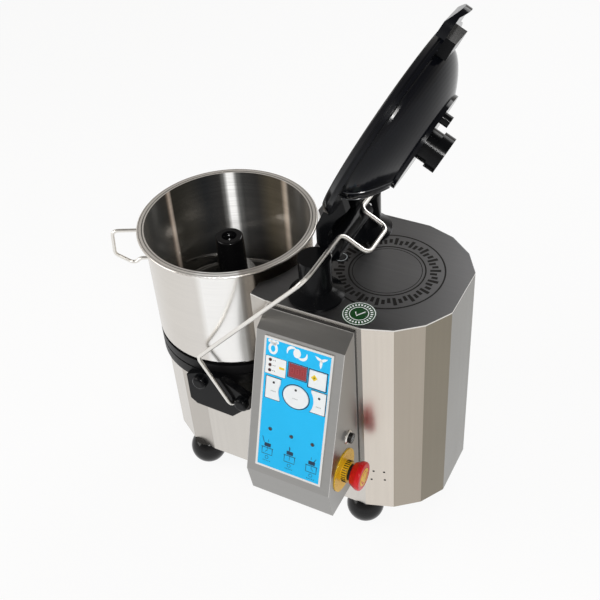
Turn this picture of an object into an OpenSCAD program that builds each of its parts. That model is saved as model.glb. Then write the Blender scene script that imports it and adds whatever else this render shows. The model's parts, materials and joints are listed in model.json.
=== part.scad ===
// Table-top cutter mixer: faceted sheet-steel body, lift-off bowl with a belt-driven knife,
// hinged dome lid, swinging wire bail and a sloping control box.
// X runs from the bowl to the tower, Y from the operator to the back, Z up from the floor.

/* [Body] */
// Distance from the middle plane to the front wall, and to the back wall
half_depth = 112; // [108:1:118]
// Height of the low part of the body, where the bowl stands
base_h = 156; // [150:1:165]
// Height of the tower that holds the motor
tower_h = 342.5; // [335:0.5:352]
// Bowl axis, measured from the body's zero line
bowl_x = -120; // [-124:1:-116]
// Centre of the tower's faceted end
tower_x = 117.4; // [114:0.2:122]
// Corner radius of the tower's faceted end
tower_corner_r = 113; // [112:0.5:118]
// Angle of the first corner of the tower's end
tower_first_corner = 21.4; // [20:0.1:23]
// Angle from one tower corner to the next
tower_corner_step = 20.3; // [19:0.1:21]
// Angle of the first corner of the bowl end
base_first_corner = 26.5; // [24:0.1:28]
// Angle from one bowl-end corner to the next
base_corner_step = 21.1; // [20:0.1:21.6]
// Thickness of the stainless sheet
sheet_t = 1.5; // [1:0.1:2]
// Thickness of the flat plates on top and underneath
plate_t = 2; // [1.5:0.1:3]
// Gap between the bowl's wall and the hollow side of the tower
hollow_gap = 13.3; // [12.5:0.1:16]
// Left edge of the tower's two wings
wing_x = -24; // [-30:1:-20]
// Line where the bowl end and the tower sheet meet
seam_x = -1.4; // [-3:0.2:0]
// How far the wing edge stands back from the wall plane
wing_setback = 4; // [2:0.5:6]
// Width of the turned-in flange at the foot of the walls
flange_w = 8; // [6:1:9]

/* [Feet] */
// Height of a foot
foot_h = 44; // [38:1:50]
// Radius of a foot
foot_r = 27; // [24:1:30]
// Radius of the flat that a foot stands on
foot_base_r = 12; // [10:1:14]
// Place of the feet under the bowl
foot_left_x = -144; // [-148:1:-138]
// Place of the feet under the tower
foot_right_x = 124; // [120:1:130]
// Distance of a foot from the middle plane
foot_y = 95; // [88:0.5:95.5]
// Radius of a foot's stud
stud_r = 3; // [2.5:0.5:3.5]

/* [Bowl] */
// Outside radius of the bowl wall
bowl_r = 115.5; // [112:0.5:116]
// Thickness of the bowl's sheet
bowl_t = 1.5; // [1:0.1:2]
// Thickness of the bowl's sandwich bottom
bowl_bottom_t = 6; // [5:0.5:7]
// How far the bowl's turned rim stands out from its wall
rim_w = 9.3; // [8:0.1:11]
// Height of the seat on which the bowl stands
seat_h = 34; // [28:1:38]
// Height of the rim above the tower's top
rim_rise = 15.3; // [12:0.1:20]
// Radius of the rolled edge of the rim
rim_roll_r = 2.2; // [1.5:0.1:3]
// Radius of the bowl handle's wire
handle_wire_r = 2.6; // [2:0.1:3]
// How far the handle stands out from the bowl's wall
handle_out = 49.9; // [42:0.1:55]
// Direction of the bowl handle about the bowl axis
handle_turn = 205; // [195:1:220]
// Height of the handle's loop
handle_h = 58; // [50:1:62]
// Rounding of the handle's corners
handle_bend_r = 9; // [7:0.5:11]

/* [Knife and spindle] */
// Radius of the spindle in its bearings
spindle_r = 10; // [9.5:0.25:11]
// Radius of the spindle above the seat
spindle_top_r = 9; // [8.5:0.25:9.25]
// Inside radius of the bowl's centre tube
tube_r = 11; // [10.5:0.25:11.5]
// Radius of the knife hub at its top
hub_top_r = 19.3; // [17:0.1:20]
// Radius of the knife hub at its shoulder
hub_mid_r = 21.3; // [20:0.1:22]
// Radius of the knife hub where the blades sit
hub_low_r = 24; // [23:0.5:26]
// Height of the hub's top below the bowl's rim
hub_drop = 27.8; // [22:0.2:34]
// Radius swept by the blade tips
blade_tip_r = 105; // [95:1:108]
// Thickness of a blade
blade_t = 3; // [2:0.5:4]
// Angle through which a blade curves back
blade_sweep = 75; // [60:1:90]

/* [Drive] */
// Radius of the pulley on the spindle
big_pulley_r = 45; // [40:1:50]
// Radius of the pulley on the motor
small_pulley_r = 22.5; // [20:0.5:26]
// Width of the belt
belt_w = 20; // [14:1:22]
// Thickness of the belt
belt_t = 3; // [2:0.5:4]
// Place of the motor's axis
motor_x = 108; // [104:1:112]
// Outside radius of the motor
motor_r = 68; // [60:1:72]
// Height of the motor
motor_h = 190; // [160:1:200]
// Height of the chassis plate above the bottom of the walls
chassis_z = 62; // [58:1:68]
// Thickness of the chassis plate
chassis_t = 8; // [6:1:10]

/* [Lid] */
// Height of the hinge axis above the tower's top
hinge_rise = 50.7; // [48:0.1:56]
// Hinge axis, measured from the body's zero line
hinge_x = 63.7; // [62:0.1:66]
// Opening angle of the lid, from closed
lid_open = 117.5; // [100:0.5:120]
// How far the lid's flange reaches beyond the bowl's rim
lid_over = 5.2; // [3:0.1:6]
// Thickness of the lid's flange
lid_flange_t = 11; // [9:0.5:13]
// Width of the flange beyond the foot of the dome
lid_edge_w = 25; // [20:0.5:28]
// Radius of the flat crown
crown_r = 62.7; // [55:0.5:66]
// Height of the dome above the lid's underside
dome_h = 50; // [44:1:56]
// Thickness of the lid's moulding
lid_t = 3; // [2.5:0.1:4]
// How far the grip reaches out from the flange
grip_out = 28; // [22:1:34]
// Width of the grip
grip_w = 58; // [48:1:64]
// Angle from the lid's middle line to the grip, towards the back
grip_turn = 8; // [0:1:12]
// Radius of the stopper in the middle of the lid
stopper_r = 23; // [20:0.5:25]
// Height of the stopper's top above the lid's underside
stopper_top = 80; // [72:1:84]
// Radius of the stopper's stem
stopper_stem_r = 17; // [14:0.5:19]
// Radius of the small plug beside the stopper
plug_r = 7; // [5:0.5:8]
// Distance of the small plug from the stopper
plug_u = 42; // [36:1:46]

/* [Hinge posts] */
// Centre of the posts
post_x = 54; // [52:0.5:56]
// Distance of the posts from the middle plane
post_y = 75; // [72:1:78]
// Radius of a post
post_r = 21; // [18:0.5:22]
// Radius of a post's conical foot
post_foot_r = 36; // [30:1:37]
// Height of a post's conical foot
post_foot_h = 12; // [9:1:20]
// Height of a post's top above the hinge axis
post_top_rise = 8; // [5:0.5:9]
// Radius of the hinge pin
pin_r = 6; // [4:0.5:6.5]

/* [Bail] */
// Radius of the bail's wire
bail_wire_r = 2.9; // [2.5:0.1:3.2]
// Distance of the bail's arms from the middle plane
bail_y = 130; // [128:0.5:134]
// Bail pivot, measured from the body's zero line
bail_pivot_x = -63; // [-68:1:-60]
// Height of the bail pivot above the bottom of the walls
bail_pivot_z = 137.5; // [132:0.5:142]
// Cross bar of the bail, measured from the hinge axis along X
bail_bar_dx = 5.3; // [4:0.1:8]
// Cross bar of the bail, above the hinge axis
bail_bar_dz = 15.8; // [15.5:0.1:20]
// Half the width of the bail's bow
bow_half_w = 29; // [24:1:30]
// How far the bow reaches out along X
bow_dx = 36.6; // [30:0.2:40]
// How far the bow hangs down
bow_dz = 20; // [14:0.5:24]
// Rounding of the bail's bends
bail_bend_r = 9; // [8:0.5:11]
// Rounding of the bail's two outer corners
bail_corner_r = 22; // [14:1:26]
// How far a bail bracket stands off the wall
bracket_d = 12; // [10:0.5:14]
// Radius of a bracket's round bosses
bracket_boss_r = 11; // [9:0.5:12]

/* [Control box] */
// Left side of the control box
box_left = 2.3; // [1:0.1:6]
// Width of the control box
box_w = 122.2; // [118:0.2:126]
// How far the top edge of the panel stands off the wall
box_top_d = 30; // [26:1:34]
// How far the bottom edge of the panel stands off the wall
box_low_d = 93.8; // [86:0.2:98]
// Height of the panel's top edge above the bottom of the walls
box_top_z = 321; // [316:1:326]
// Height of the panel's bottom edge above the bottom of the walls
box_low_z = 120.6; // [114:0.2:126]
// Height of the box's bottom above the bottom of the walls
box_bottom_z = 72; // [68:1:78]
// How far the box's bottom edge stands off the wall
box_bottom_d = 85.5; // [80:0.5:90]
// Height of the box's back edge above the bottom of the walls
box_back_z = 335; // [330:1:338]
// Thickness of the rubber gasket behind the box
gasket_t = 3; // [2:0.5:4]
// Margin from the panel's side edge to the membrane
membrane_side = 13; // [11:0.5:15]
// Distance from the panel's top edge to the membrane
membrane_top = 5; // [4:0.5:7]
// Length of the membrane down the slope
membrane_l = 193; // [188:0.5:196]
// Thickness of the membrane
membrane_t = 1.2; // [1:0.1:1.5]
// Width of the bright frame round the membrane
frame_w = 3; // [2:0.5:4]
// Travel of a key
key_travel = 0.5; // [0.3:0.1:0.6]
// Half length of the middle key
mid_key_rx = 17.8; // [16:0.1:19]
// Half height of the middle key
mid_key_ry = 16; // [14:0.1:16.5]

/* [Switches] */
// Distance of the emergency stop from the wall
stop_d = 48.4; // [46:0.2:52]
// Height of the emergency stop above the bottom of the walls
stop_z = 126.8; // [122:0.2:132]
// Radius of the emergency stop's disc
stop_disc_r = 30; // [28:0.5:30.5]
// Radius of the emergency stop's mushroom head
stop_head_r = 20; // [18:0.5:22]
// How far the mushroom head stands off the box
stop_reach = 30; // [28:0.5:36]
// Travel of the emergency stop
stop_travel = 4; // [3:0.5:5]
// Distance of the round switch from the wall
switch_d = 31.4; // [30:0.2:34]
// Height of the round switch above the bottom of the walls
switch_z = 174.1; // [170:0.2:178]
// Radius of the round switch
switch_r = 7; // [6:0.5:8]
// How far the round switch stands off the box
switch_reach = 7; // [5:0.5:9]
// Travel of the round switch
switch_travel = 2; // [1:0.5:2.5]

/* [Hidden] */

fn_round = 96;
fn_small = 48;
over = 1;
fit_gap = 0.05;
part_gap = 0.3;
wire_sides = 12;
bend_steps = 5;

rim_r = bowl_r + rim_w;
hollow_r = bowl_r + hollow_gap;
lid_r = rim_r + lid_over;
dome_r = lid_r - lid_edge_w;
grip_reach = lid_r + grip_out;
handle_reach = bowl_r + handle_out;
wall_z = foot_h;
base_z = wall_z + base_h;
tower_z = wall_z + tower_h;
hinge_z = tower_z + hinge_rise;
rim_z = tower_z + rim_rise;
seat_z = base_z + seat_h;
box_right = box_left + box_w;
tower_end_x = tower_x + tower_corner_r * cos(tower_first_corner);
handle_end_x = bowl_x + (handle_reach + handle_wire_r) * cos(handle_turn);
shift_x = -(handle_end_x + tower_end_x) / 2;
shift_y = (half_depth + box_low_d - bail_y - bail_wire_r) / 2;

// Places the whole machine so that its box is centred over the origin
module placed() {
    translate([shift_x, shift_y, 0]) children();
}

// A corner at radius r and angle a about a centre at cx
function corner(cx, r, a) = [cx + r * cos(a), r * sin(a)];
function base_angle(k) = base_first_corner + base_corner_step * k;
function tower_angle(k) = tower_first_corner + tower_corner_step * k;

// Plan of the bowl end, drawn in by d on every wall and drawn out past the seam
module base_plan(d = 0, past = 0) {
    r = half_depth / sin(base_angle(3)) - d / cos(base_corner_step / 2);
    polygon(concat(
        [for (k = [3:-1:0]) corner(bowl_x, r, 180 - base_angle(k))],
        [for (k = [0:3]) corner(bowl_x, r, 180 + base_angle(k))],
        [[seam_x + past, d - half_depth], [seam_x + past, half_depth - d]]));
}

// Plan of the tower, drawn in by d on every wall and drawn out past the seam
module tower_plan(d = 0, past = 0) {
    r = half_depth / sin(tower_angle(3)) - d / cos(tower_corner_step / 2);
    polygon(concat(
        [[seam_x - past, half_depth - d], [seam_x - past, d - half_depth]],
        [for (k = [3:-1:0]) corner(tower_x, r, -tower_angle(k))],
        [for (k = [0:3]) corner(tower_x, r, tower_angle(k))]));
}

// Plan of the tower's wings, which reach round the bowl
module wing_plan() {
    edge = half_depth - wing_setback;
    polygon([[wing_x, -edge], [seam_x, -half_depth], [seam_x, half_depth], [wing_x, edge]]);
}

module hollow_disc(r, h) {
    translate([bowl_x, 0, 0]) cylinder(r = r, h = h, $fn = fn_round);
}

module ring(r_out, r_in, h) {
    difference() {
        cylinder(r = r_out, h = h, $fn = fn_round);
        translate([0, 0, -over]) cylinder(r = r_in, h = h + 2 * over, $fn = fn_round);
    }
}

// Unit vector from a to b
function unit(v) = v / norm(v);

// Centre and direction of each ring along a wire; bend is one radius or one for each point
function wire_rings(points, bend) = let (
    n = len(points),
    dirs = [for (i = [0:n - 2]) unit(points[i + 1] - points[i])])
    concat([[points[0], dirs[0]]],
        [for (i = [1:n - 2], k = [0:bend_steps]) bend_ring(points[i], dirs[i - 1], dirs[i],
            is_list(bend) ? bend[i] : bend, k / bend_steps)],
        [[points[n - 1], dirs[n - 2]]]);

// Ring at share s of the bend at p, from direction u to direction v
function bend_ring(p, u, v, bend, s) = let (
    turn = acos(u * v),
    inward = cross(unit(cross(u, v)), u),
    start = p - u * bend * tan(turn / 2),
    a = turn * s)
    [start + u * bend * sin(a) + inward * bend * (1 - cos(a)), u * cos(a) + inward * sin(a)];

// Round wire through a list of points, as one swept tube
module wire(points, r, bend) {
    rings = wire_rings(points, bend);
    n = len(rings);
    side = abs(rings[0][1][2]) > 0.9 ? [1, 0, 0] : [0, 0, 1];
    sides_x = [for (i = 0, x = unit(cross(side, rings[0][1])); i < n;
        i = i + 1, x = i < n ? unit(x - rings[i][1] * (x * rings[i][1])) : x) x];
    verts = [for (i = [0:n - 1], k = [0:wire_sides - 1]) let (a = 360 * k / wire_sides)
        rings[i][0] + r * (cos(a) * sides_x[i] + sin(a) * cross(rings[i][1], sides_x[i]))];
    polyhedron(verts, concat(
        [[for (k = [0:wire_sides - 1]) k]],
        [for (i = [0:n - 2], k = [0:wire_sides - 1]) let (m = (k + 1) % wire_sides)
            [i * wire_sides + m, i * wire_sides + k, (i + 1) * wire_sides + k,
                (i + 1) * wire_sides + m]],
        [[for (k = [wire_sides - 1:-1:0]) (n - 1) * wire_sides + k]]), convexity = 10);
}

module base_shell() {
    color("silver") placed() {
        translate([0, 0, wall_z]) linear_extrude(base_h - plate_t) difference() {
            base_plan();
            base_plan(sheet_t, over);
        }
        translate([0, 0, wall_z + plate_t]) linear_extrude(sheet_t) difference() {
            base_plan(sheet_t);
            base_plan(sheet_t + flange_w, over);
            for (p = foot_places) translate(p) circle(r = nut_r + part_gap, $fn = fn_small);
        }
    }
}

module tower_shell() {
    color("silver") placed() {
        translate([0, 0, wall_z]) linear_extrude(tower_h - plate_t) difference() {
            tower_plan();
            tower_plan(sheet_t, over);
        }
        translate([0, 0, wall_z + plate_t]) linear_extrude(sheet_t) difference() {
            tower_plan(sheet_t);
            tower_plan(sheet_t + flange_w, over);
        }
    }
}

// Hollow sheet behind the bowl, with the two wing edges
module tower_inner_wall() {
    h = tower_h - base_h - plate_t;
    color("dimgray") placed() translate([0, 0, base_z]) linear_extrude(h) {
        intersection() {
            difference() {
                translate([bowl_x, 0]) circle(r = hollow_r + sheet_t, $fn = fn_round);
                translate([bowl_x, 0]) circle(r = hollow_r, $fn = fn_round);
            }
            translate([wing_x, -half_depth]) square([2 * half_depth, 2 * half_depth]);
        }
        for (side = [-1, 1]) scale([1, side]) wing_sheet();
    }
}

module wing_sheet() {
    foot = sqrt(pow(hollow_r + sheet_t / 2, 2) - pow(wing_x - bowl_x, 2));
    edge = half_depth - wing_setback;
    polygon([[wing_x, foot], [wing_x, edge], [seam_x, half_depth], [seam_x, half_depth - sheet_t],
        [wing_x + sheet_t, edge - sheet_t], [wing_x + sheet_t, foot]]);
}

module base_top_plate() {
    color("silver") placed() difference() {
        translate([0, 0, base_z - plate_t]) linear_extrude(plate_t) intersection() {
            union() {
                base_plan();
                tower_plan(sheet_t);
            }
            union() {
                translate([bowl_x, 0]) circle(r = hollow_r + sheet_t, $fn = fn_round);
                translate([bowl_x - 2 * half_depth, -half_depth])
                    square([2 * half_depth + wing_x - bowl_x, 2 * half_depth]);
                wing_plan();
            }
        }
        translate([bowl_x, 0, base_z - plate_t - over])
            cylinder(r = housing_r + part_gap, h = plate_t + 2 * over, $fn = fn_round);
    }
}

module tower_top_plate() {
    color("gray") placed() translate([0, 0, tower_z - plate_t]) difference() {
        linear_extrude(plate_t) {
            tower_plan();
            wing_plan();
        }
        translate([0, 0, -over]) hollow_disc(hollow_r, plate_t + 2 * over);
    }
}

vent_l = 50;
vent_w = 4;
vent_pitch = 12;
vent_count = 6;
foot_places = [[foot_left_x, -foot_y], [foot_right_x, -foot_y], [foot_left_x, foot_y],
    [foot_right_x, foot_y]];

module bottom_plate() {
    color("silver") placed() translate([0, 0, wall_z]) difference() {
        linear_extrude(plate_t) {
            base_plan(sheet_t + part_gap);
            tower_plan(sheet_t + part_gap);
        }
        for (p = foot_places) translate([p[0], p[1], -over])
            cylinder(r = stud_r + part_gap, h = plate_t + 2 * over, $fn = fn_small);
        for (p = screw_places) translate([p[0], p[1], -over])
            cylinder(r = screw_r + part_gap, h = plate_t + 2 * over, $fn = fn_small);
        for (k = [0:vent_count - 1])
            translate([motor_x - vent_pitch * (vent_count - 1) / 2 + vent_pitch * k - vent_w / 2,
                -vent_l / 2, -over])
                cube([vent_w, vent_l, plate_t + 2 * over]);
    }
}

screw_r = 2;
screw_head_r = 3.8;
screw_head_h = 2.2;
screw_inset = sheet_t + flange_w / 2;
screw_side_xs = [-70, 20];
screw_end_angles = [-36, 36];
base_screw_r = (half_depth - screw_inset) * cos(base_corner_step / 2);
tower_screw_r = (tower_corner_r - screw_inset) * cos(tower_corner_step / 2);
screw_places = concat(
    [for (x = screw_side_xs, side = [-1, 1]) [x, side * (half_depth - screw_inset)]],
    [for (a = screw_end_angles) corner(bowl_x, base_screw_r, 180 + a)],
    [for (a = screw_end_angles) corner(tower_x, tower_screw_r, a)]);

// Screws that hold the bottom plate to the flange
module bottom_screws() {
    color("silver") placed() for (p = screw_places) translate([p[0], p[1], wall_z]) {
        translate([0, 0, -screw_head_h])
            cylinder(r = screw_head_r, h = screw_head_h, $fn = fn_small);
        cylinder(r = screw_r, h = plate_t, $fn = fn_small);
    }
}

// Height of the middle of a foot's ball above its flat
foot_ball_z = sqrt(pow(foot_r, 2) - pow(foot_base_r, 2));

module foot(p) {
    color([0.05, 0.05, 0.05]) placed() translate([p[0], p[1], 0]) {
        rotate_extrude($fn = fn_round) intersection() {
            square([foot_r, foot_h]);
            translate([0, foot_ball_z]) circle(r = foot_r, $fn = fn_round);
        }
        translate([0, 0, foot_h - over])
            cylinder(r = stud_r, h = plate_t + nut_h + stud_end + over, $fn = fn_small);
    }
}

nut_r = 5.8;
nut_h = 5;
stud_end = 3;

module foot_front_left() { foot(foot_places[0]); }
module foot_front_right() { foot(foot_places[1]); }
module foot_rear_left() { foot(foot_places[2]); }
module foot_rear_right() { foot(foot_places[3]); }

// Nuts that hold the feet on the bottom plate
module foot_nuts() {
    color("silver") placed() for (p = foot_places)
        translate([p[0], p[1], wall_z + plate_t]) difference() {
            cylinder(r = nut_r, h = nut_h, $fn = 6);
            translate([0, 0, -over])
                cylinder(r = stud_r + fit_gap, h = nut_h + 2 * over, $fn = fn_small);
        }
}

chassis_under = wall_z + chassis_z;
chassis_top = chassis_under + chassis_t;
chassis_w = 150;
chassis_left_l = 62;
chassis_right_l = 88;
chassis_left = bowl_x - chassis_left_l;
chassis_right = motor_x + chassis_right_l;
post_inset = 12;
chassis_post_r = 7;
shaft_hole_r = 30;
chassis_post_places = [for (x = [chassis_left + post_inset, (bowl_x + motor_x) / 2,
    chassis_right - post_inset], side = [-1, 1]) [x, side * (chassis_w / 2 - post_inset)]];

module chassis_plate() {
    color("slategray") placed() translate([0, 0, chassis_under]) difference() {
        translate([chassis_left, -chassis_w / 2, 0])
            cube([chassis_right - chassis_left, chassis_w, chassis_t]);
        for (x = [bowl_x, motor_x]) translate([x, 0, -over])
            cylinder(r = shaft_hole_r, h = chassis_t + 2 * over, $fn = fn_round);
    }
}

module chassis_posts() {
    color("slategray") placed() for (p = chassis_post_places)
        translate([p[0], p[1], wall_z + plate_t])
            cylinder(r = chassis_post_r, h = chassis_z - plate_t, $fn = fn_small);
}

bearing_r = 21;
bearing_h = 12;
housing_r = 36;
housing_flange_r = 52;
housing_flange_t = 8;
housing_lip_r = 17;
housing_top = base_z + plate_t;

// Cast housing that carries the spindle's two bearings
module bearing_housing() {
    h = housing_top - chassis_top;
    color("slategray") placed() translate([bowl_x, 0, chassis_top]) difference() {
        union() {
            cylinder(r = housing_flange_r, h = housing_flange_t, $fn = fn_round);
            cylinder(r = housing_r, h = h, $fn = fn_round);
        }
        translate([0, 0, -over]) cylinder(r = housing_lip_r, h = h + 2 * over, $fn = fn_round);
        translate([0, 0, -over])
            cylinder(r = bearing_r + fit_gap, h = bearing_h + over, $fn = fn_round);
        translate([0, 0, h - bearing_h - seal_h])
            cylinder(r = bearing_r + fit_gap, h = bearing_h + seal_h + over, $fn = fn_round);
    }
}

seal_h = 7;

module spindle_bearings() {
    color("silver") placed() translate([bowl_x, 0, 0]) {
        translate([0, 0, chassis_top]) ring(bearing_r, spindle_r + fit_gap, bearing_h);
        translate([0, 0, housing_top - bearing_h - seal_h])
            ring(bearing_r, spindle_r + fit_gap, bearing_h);
    }
}

module shaft_seal() {
    color([0.1, 0.1, 0.1]) placed() translate([bowl_x, 0, housing_top - seal_h])
        ring(bearing_r, spindle_r + fit_gap, seal_h);
}

seat_wall = 8;
seat_top_t = 10;
seat_pin_r = 4;
seat_pin_h = 4;
seat_pin_place_r = 88;
seat_pins = 3;
seat_groove = 1.2;
seat_groove_h = 3;

// Black ring on which the bowl stands, with its locating pins
module seat() {
    color([0.08, 0.08, 0.08]) placed() translate([bowl_x, 0, base_z]) {
        difference() {
            cylinder(r = bowl_r, h = seat_h, $fn = fn_round);
            translate([0, 0, -over])
                cylinder(r = bowl_r - seat_wall, h = seat_h - seat_top_t + over, $fn = fn_round);
            translate([0, 0, -over])
                cylinder(r = spindle_r + part_gap, h = seat_h + 2 * over, $fn = fn_round);
            translate([0, 0, seat_h / 2]) ring(bowl_r + over, bowl_r - seat_groove, seat_groove_h);
        }
        for (k = [0:seat_pins - 1]) rotate(360 / seat_pins * k)
            translate([seat_pin_place_r, 0, seat_h])
                cylinder(r = seat_pin_r, h = seat_pin_h, $fn = fn_small);
    }
}

pulley_up = 22;
pulley_spare_h = 4;
pulley_z = wall_z + pulley_up;
pulley_h = belt_w + pulley_spare_h;
pulley_rim = 3;
pulley_rim_h = 2;
spindle_end = 6;
hub_socket = 32;
tube_top = rim_z - hub_drop - hub_socket;
drive_pin_r = 3;
drive_pin_half = 10.6;
drive_pin_up = 10;
spindle_top_up = 21;
drive_pin_z = tube_top + drive_pin_up;
spindle_top = tube_top + spindle_top_up;
spindle_chamfer = 1.5;

module spindle() {
    z0 = pulley_z - spindle_end;
    color("silver") placed() translate([bowl_x, 0, 0]) difference() {
        union() {
            translate([0, 0, z0])
                cylinder(r = spindle_r, h = seat_z - seat_step - z0, $fn = fn_round);
            translate([0, 0, z0])
                cylinder(r = spindle_top_r, h = spindle_top - spindle_chamfer - z0, $fn = fn_round);
            translate([0, 0, spindle_top - spindle_chamfer])
                cylinder(r1 = spindle_top_r, r2 = spindle_top_r - spindle_chamfer,
                    h = spindle_chamfer, $fn = fn_round);
        }
        translate([-drive_pin_half, 0, drive_pin_z]) rotate([0, 90, 0])
            cylinder(r = drive_pin_r + fit_gap, h = 2 * drive_pin_half, $fn = fn_small);
    }
}

seat_step = 2;

module drive_pin() {
    color("gray") placed() translate([bowl_x - drive_pin_half, 0, drive_pin_z])
        rotate([0, 90, 0]) cylinder(r = drive_pin_r, h = 2 * drive_pin_half, $fn = fn_small);
}

// Pulley with two rims, bored for its shaft
module pulley(r, bore) {
    difference() {
        union() {
            cylinder(r = r, h = pulley_h, $fn = fn_round);
            cylinder(r = r + pulley_rim, h = pulley_rim_h, $fn = fn_round);
            translate([0, 0, pulley_h - pulley_rim_h])
                cylinder(r = r + pulley_rim, h = pulley_rim_h, $fn = fn_round);
        }
        translate([0, 0, -over]) cylinder(r = bore, h = pulley_h + 2 * over, $fn = fn_round);
    }
}

module big_pulley() {
    color("gray") placed() translate([bowl_x, 0, pulley_z])
        pulley(big_pulley_r, spindle_r + fit_gap);
}

module small_pulley() {
    color("gray") placed() translate([motor_x, 0, pulley_z])
        pulley(small_pulley_r, shaft_r + fit_gap);
}

shaft_r = 9;

loop_steps = 36;
belt_gap = 0.4;

// Plan of a taut loop round two discs
module loop_plan(d) {
    r1 = big_pulley_r + d;
    r2 = small_pulley_r + d;
    a = acos((r1 - r2) / (motor_x - bowl_x));
    polygon(concat(
        [for (k = [0:loop_steps]) corner(bowl_x, r1, a + (360 - 2 * a) * k / loop_steps)],
        [for (k = [0:loop_steps]) corner(motor_x, r2, -a + 2 * a * k / loop_steps)]));
}

module belt() {
    belt_z = pulley_z + (pulley_h - belt_w + 2 * part_gap) / 2;
    color([0.1, 0.1, 0.1]) placed() translate([0, 0, belt_z])
        linear_extrude(belt_w - 2 * part_gap) difference() {
            loop_plan(belt_gap + belt_t);
            loop_plan(belt_gap);
        }
}

motor_wall = 5;
motor_flange_r = 84;
motor_flange_t = 6;
motor_bearing_r = 17.5;
motor_bearing_h = 11;
motor_floor_t = 14;
cap_h = 26;
stator_gap = 2;
stator_margin = 14;
rotor_r = 40;
air_gap = 0.6;

module motor_housing() {
    color("darkslategray") placed() translate([motor_x, 0, chassis_top]) difference() {
        union() {
            cylinder(r = motor_r, h = motor_h - cap_h, $fn = fn_round);
            cylinder(r = motor_flange_r, h = motor_flange_t, $fn = fn_round);
        }
        translate([0, 0, motor_floor_t])
            cylinder(r = motor_r - motor_wall, h = motor_h, $fn = fn_round);
        translate([0, 0, -over])
            cylinder(r = shaft_r + over, h = motor_floor_t + 2 * over, $fn = fn_round);
        translate([0, 0, motor_floor_t - motor_bearing_h])
            cylinder(r = motor_bearing_r + fit_gap, h = motor_bearing_h + over, $fn = fn_round);
    }
}

module motor_end_cap() {
    color("darkslategray") placed() translate([motor_x, 0, chassis_top + motor_h - cap_h])
        difference() {
            cylinder(r = motor_r, h = cap_h, $fn = fn_round);
            translate([0, 0, -over])
                cylinder(r = motor_bearing_r + fit_gap, h = motor_bearing_h + over, $fn = fn_round);
            translate([0, 0, -over])
                cylinder(r = shaft_r + over, h = cap_h / 2 + over, $fn = fn_round);
        }
}

module motor_stator() {
    h = motor_h - cap_h - motor_floor_t - 2 * stator_margin;
    color("goldenrod") placed() translate([motor_x, 0, chassis_top + motor_floor_t + stator_margin])
        ring(motor_r - motor_wall - fit_gap, rotor_r + air_gap, h);
}

module motor_bearings() {
    color("silver") placed() translate([motor_x, 0, chassis_top]) {
        translate([0, 0, motor_floor_t - motor_bearing_h])
            ring(motor_bearing_r, shaft_r + fit_gap, motor_bearing_h);
        translate([0, 0, motor_h - cap_h])
            ring(motor_bearing_r, shaft_r + fit_gap, motor_bearing_h);
    }
}

module motor_rotor() {
    h = motor_h - cap_h - motor_floor_t - 2 * stator_margin;
    color("slategray") placed() translate([motor_x, 0, chassis_top + motor_floor_t + stator_margin])
        ring(rotor_r, shaft_r + fit_gap, h);
}

module motor_shaft() {
    z0 = pulley_z - spindle_end;
    color("silver") placed() translate([motor_x, 0, z0])
        cylinder(r = shaft_r, h = chassis_top + motor_h - cap_h + motor_bearing_h - z0,
            $fn = fn_round);
}

bowl_round = 8;
rim_t = 2;
bead_r = 1.6;

// Bowl of revolution: rounded bottom, centre tube and turned rim
module bowl() {
    h = rim_z - seat_z;
    color("lightgray") placed() translate([bowl_x, 0, seat_z]) difference() {
        rotate_extrude($fn = fn_round) {
            difference() {
                vessel_plan(bowl_r, h, bowl_round);
                translate([0, bowl_bottom_t])
                    vessel_plan(bowl_r - bowl_t, h, bowl_round);
            }
            translate([bowl_r - bowl_t, h - rim_t])
                square([rim_r - rim_roll_r - bowl_r + bowl_t, rim_t]);
            translate([rim_r - rim_roll_r, h - rim_roll_r]) circle(r = rim_roll_r, $fn = fn_small);
            translate([bowl_r - bowl_t + bead_r, h - bead_r]) circle(r = bead_r, $fn = fn_small);
            square([tube_r + bowl_t, tube_top - seat_z]);
        }
        translate([0, 0, -over]) cylinder(r = tube_r, h = h, $fn = fn_round);
        for (k = [0:seat_pins - 1]) rotate(360 / seat_pins * k)
            translate([seat_pin_place_r, 0, -over])
                cylinder(r = seat_pin_r + part_gap, h = seat_pin_h + part_gap + over,
                    $fn = fn_small);
    }
}

// Half section of a straight vessel with a rounded bottom corner
module vessel_plan(r, h, f) {
    square([r - f, h]);
    translate([0, f]) square([r, h - f]);
    translate([r - f, f]) circle(r = f, $fn = fn_small);
}

handle_top_drop = 14.8;
handle_root = 14.5;
handle_slope_share = 0.5;

// Wire loop on the bowl's left side
module bowl_handle() {
    z_top = rim_z - handle_top_drop;
    z_low = z_top - handle_h;
    z_root = z_top - handle_h + handle_bend_r;
    x_mid = bowl_r + (handle_reach - bowl_r) * handle_slope_share;
    points = [[bowl_r, 0, z_top], [handle_reach - handle_wire_r, 0, z_top],
        [handle_reach, 0, z_root + handle_bend_r],
        [x_mid, 0, z_low], [bowl_r + handle_root, 0, z_root], [bowl_r, 0, z_root]];
    color("silver") placed() translate([bowl_x, 0, 0]) rotate(handle_turn)
        wire(points, handle_wire_r, handle_bend_r);
}

hub_top = rim_z - hub_drop;
hub_floor_gap = 4;
hub_shoulder_up = 46;
hub_low = seat_z + bowl_bottom_t + hub_floor_gap;
hub_shoulder = hub_low + hub_shoulder_up;
hub_hole_r = 10.5;
hub_seat_h = 18;
hub_bore_gap = 0.8;
hub_bore_r = tube_r + bowl_t + hub_bore_gap;
hub_round = 3;

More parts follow.
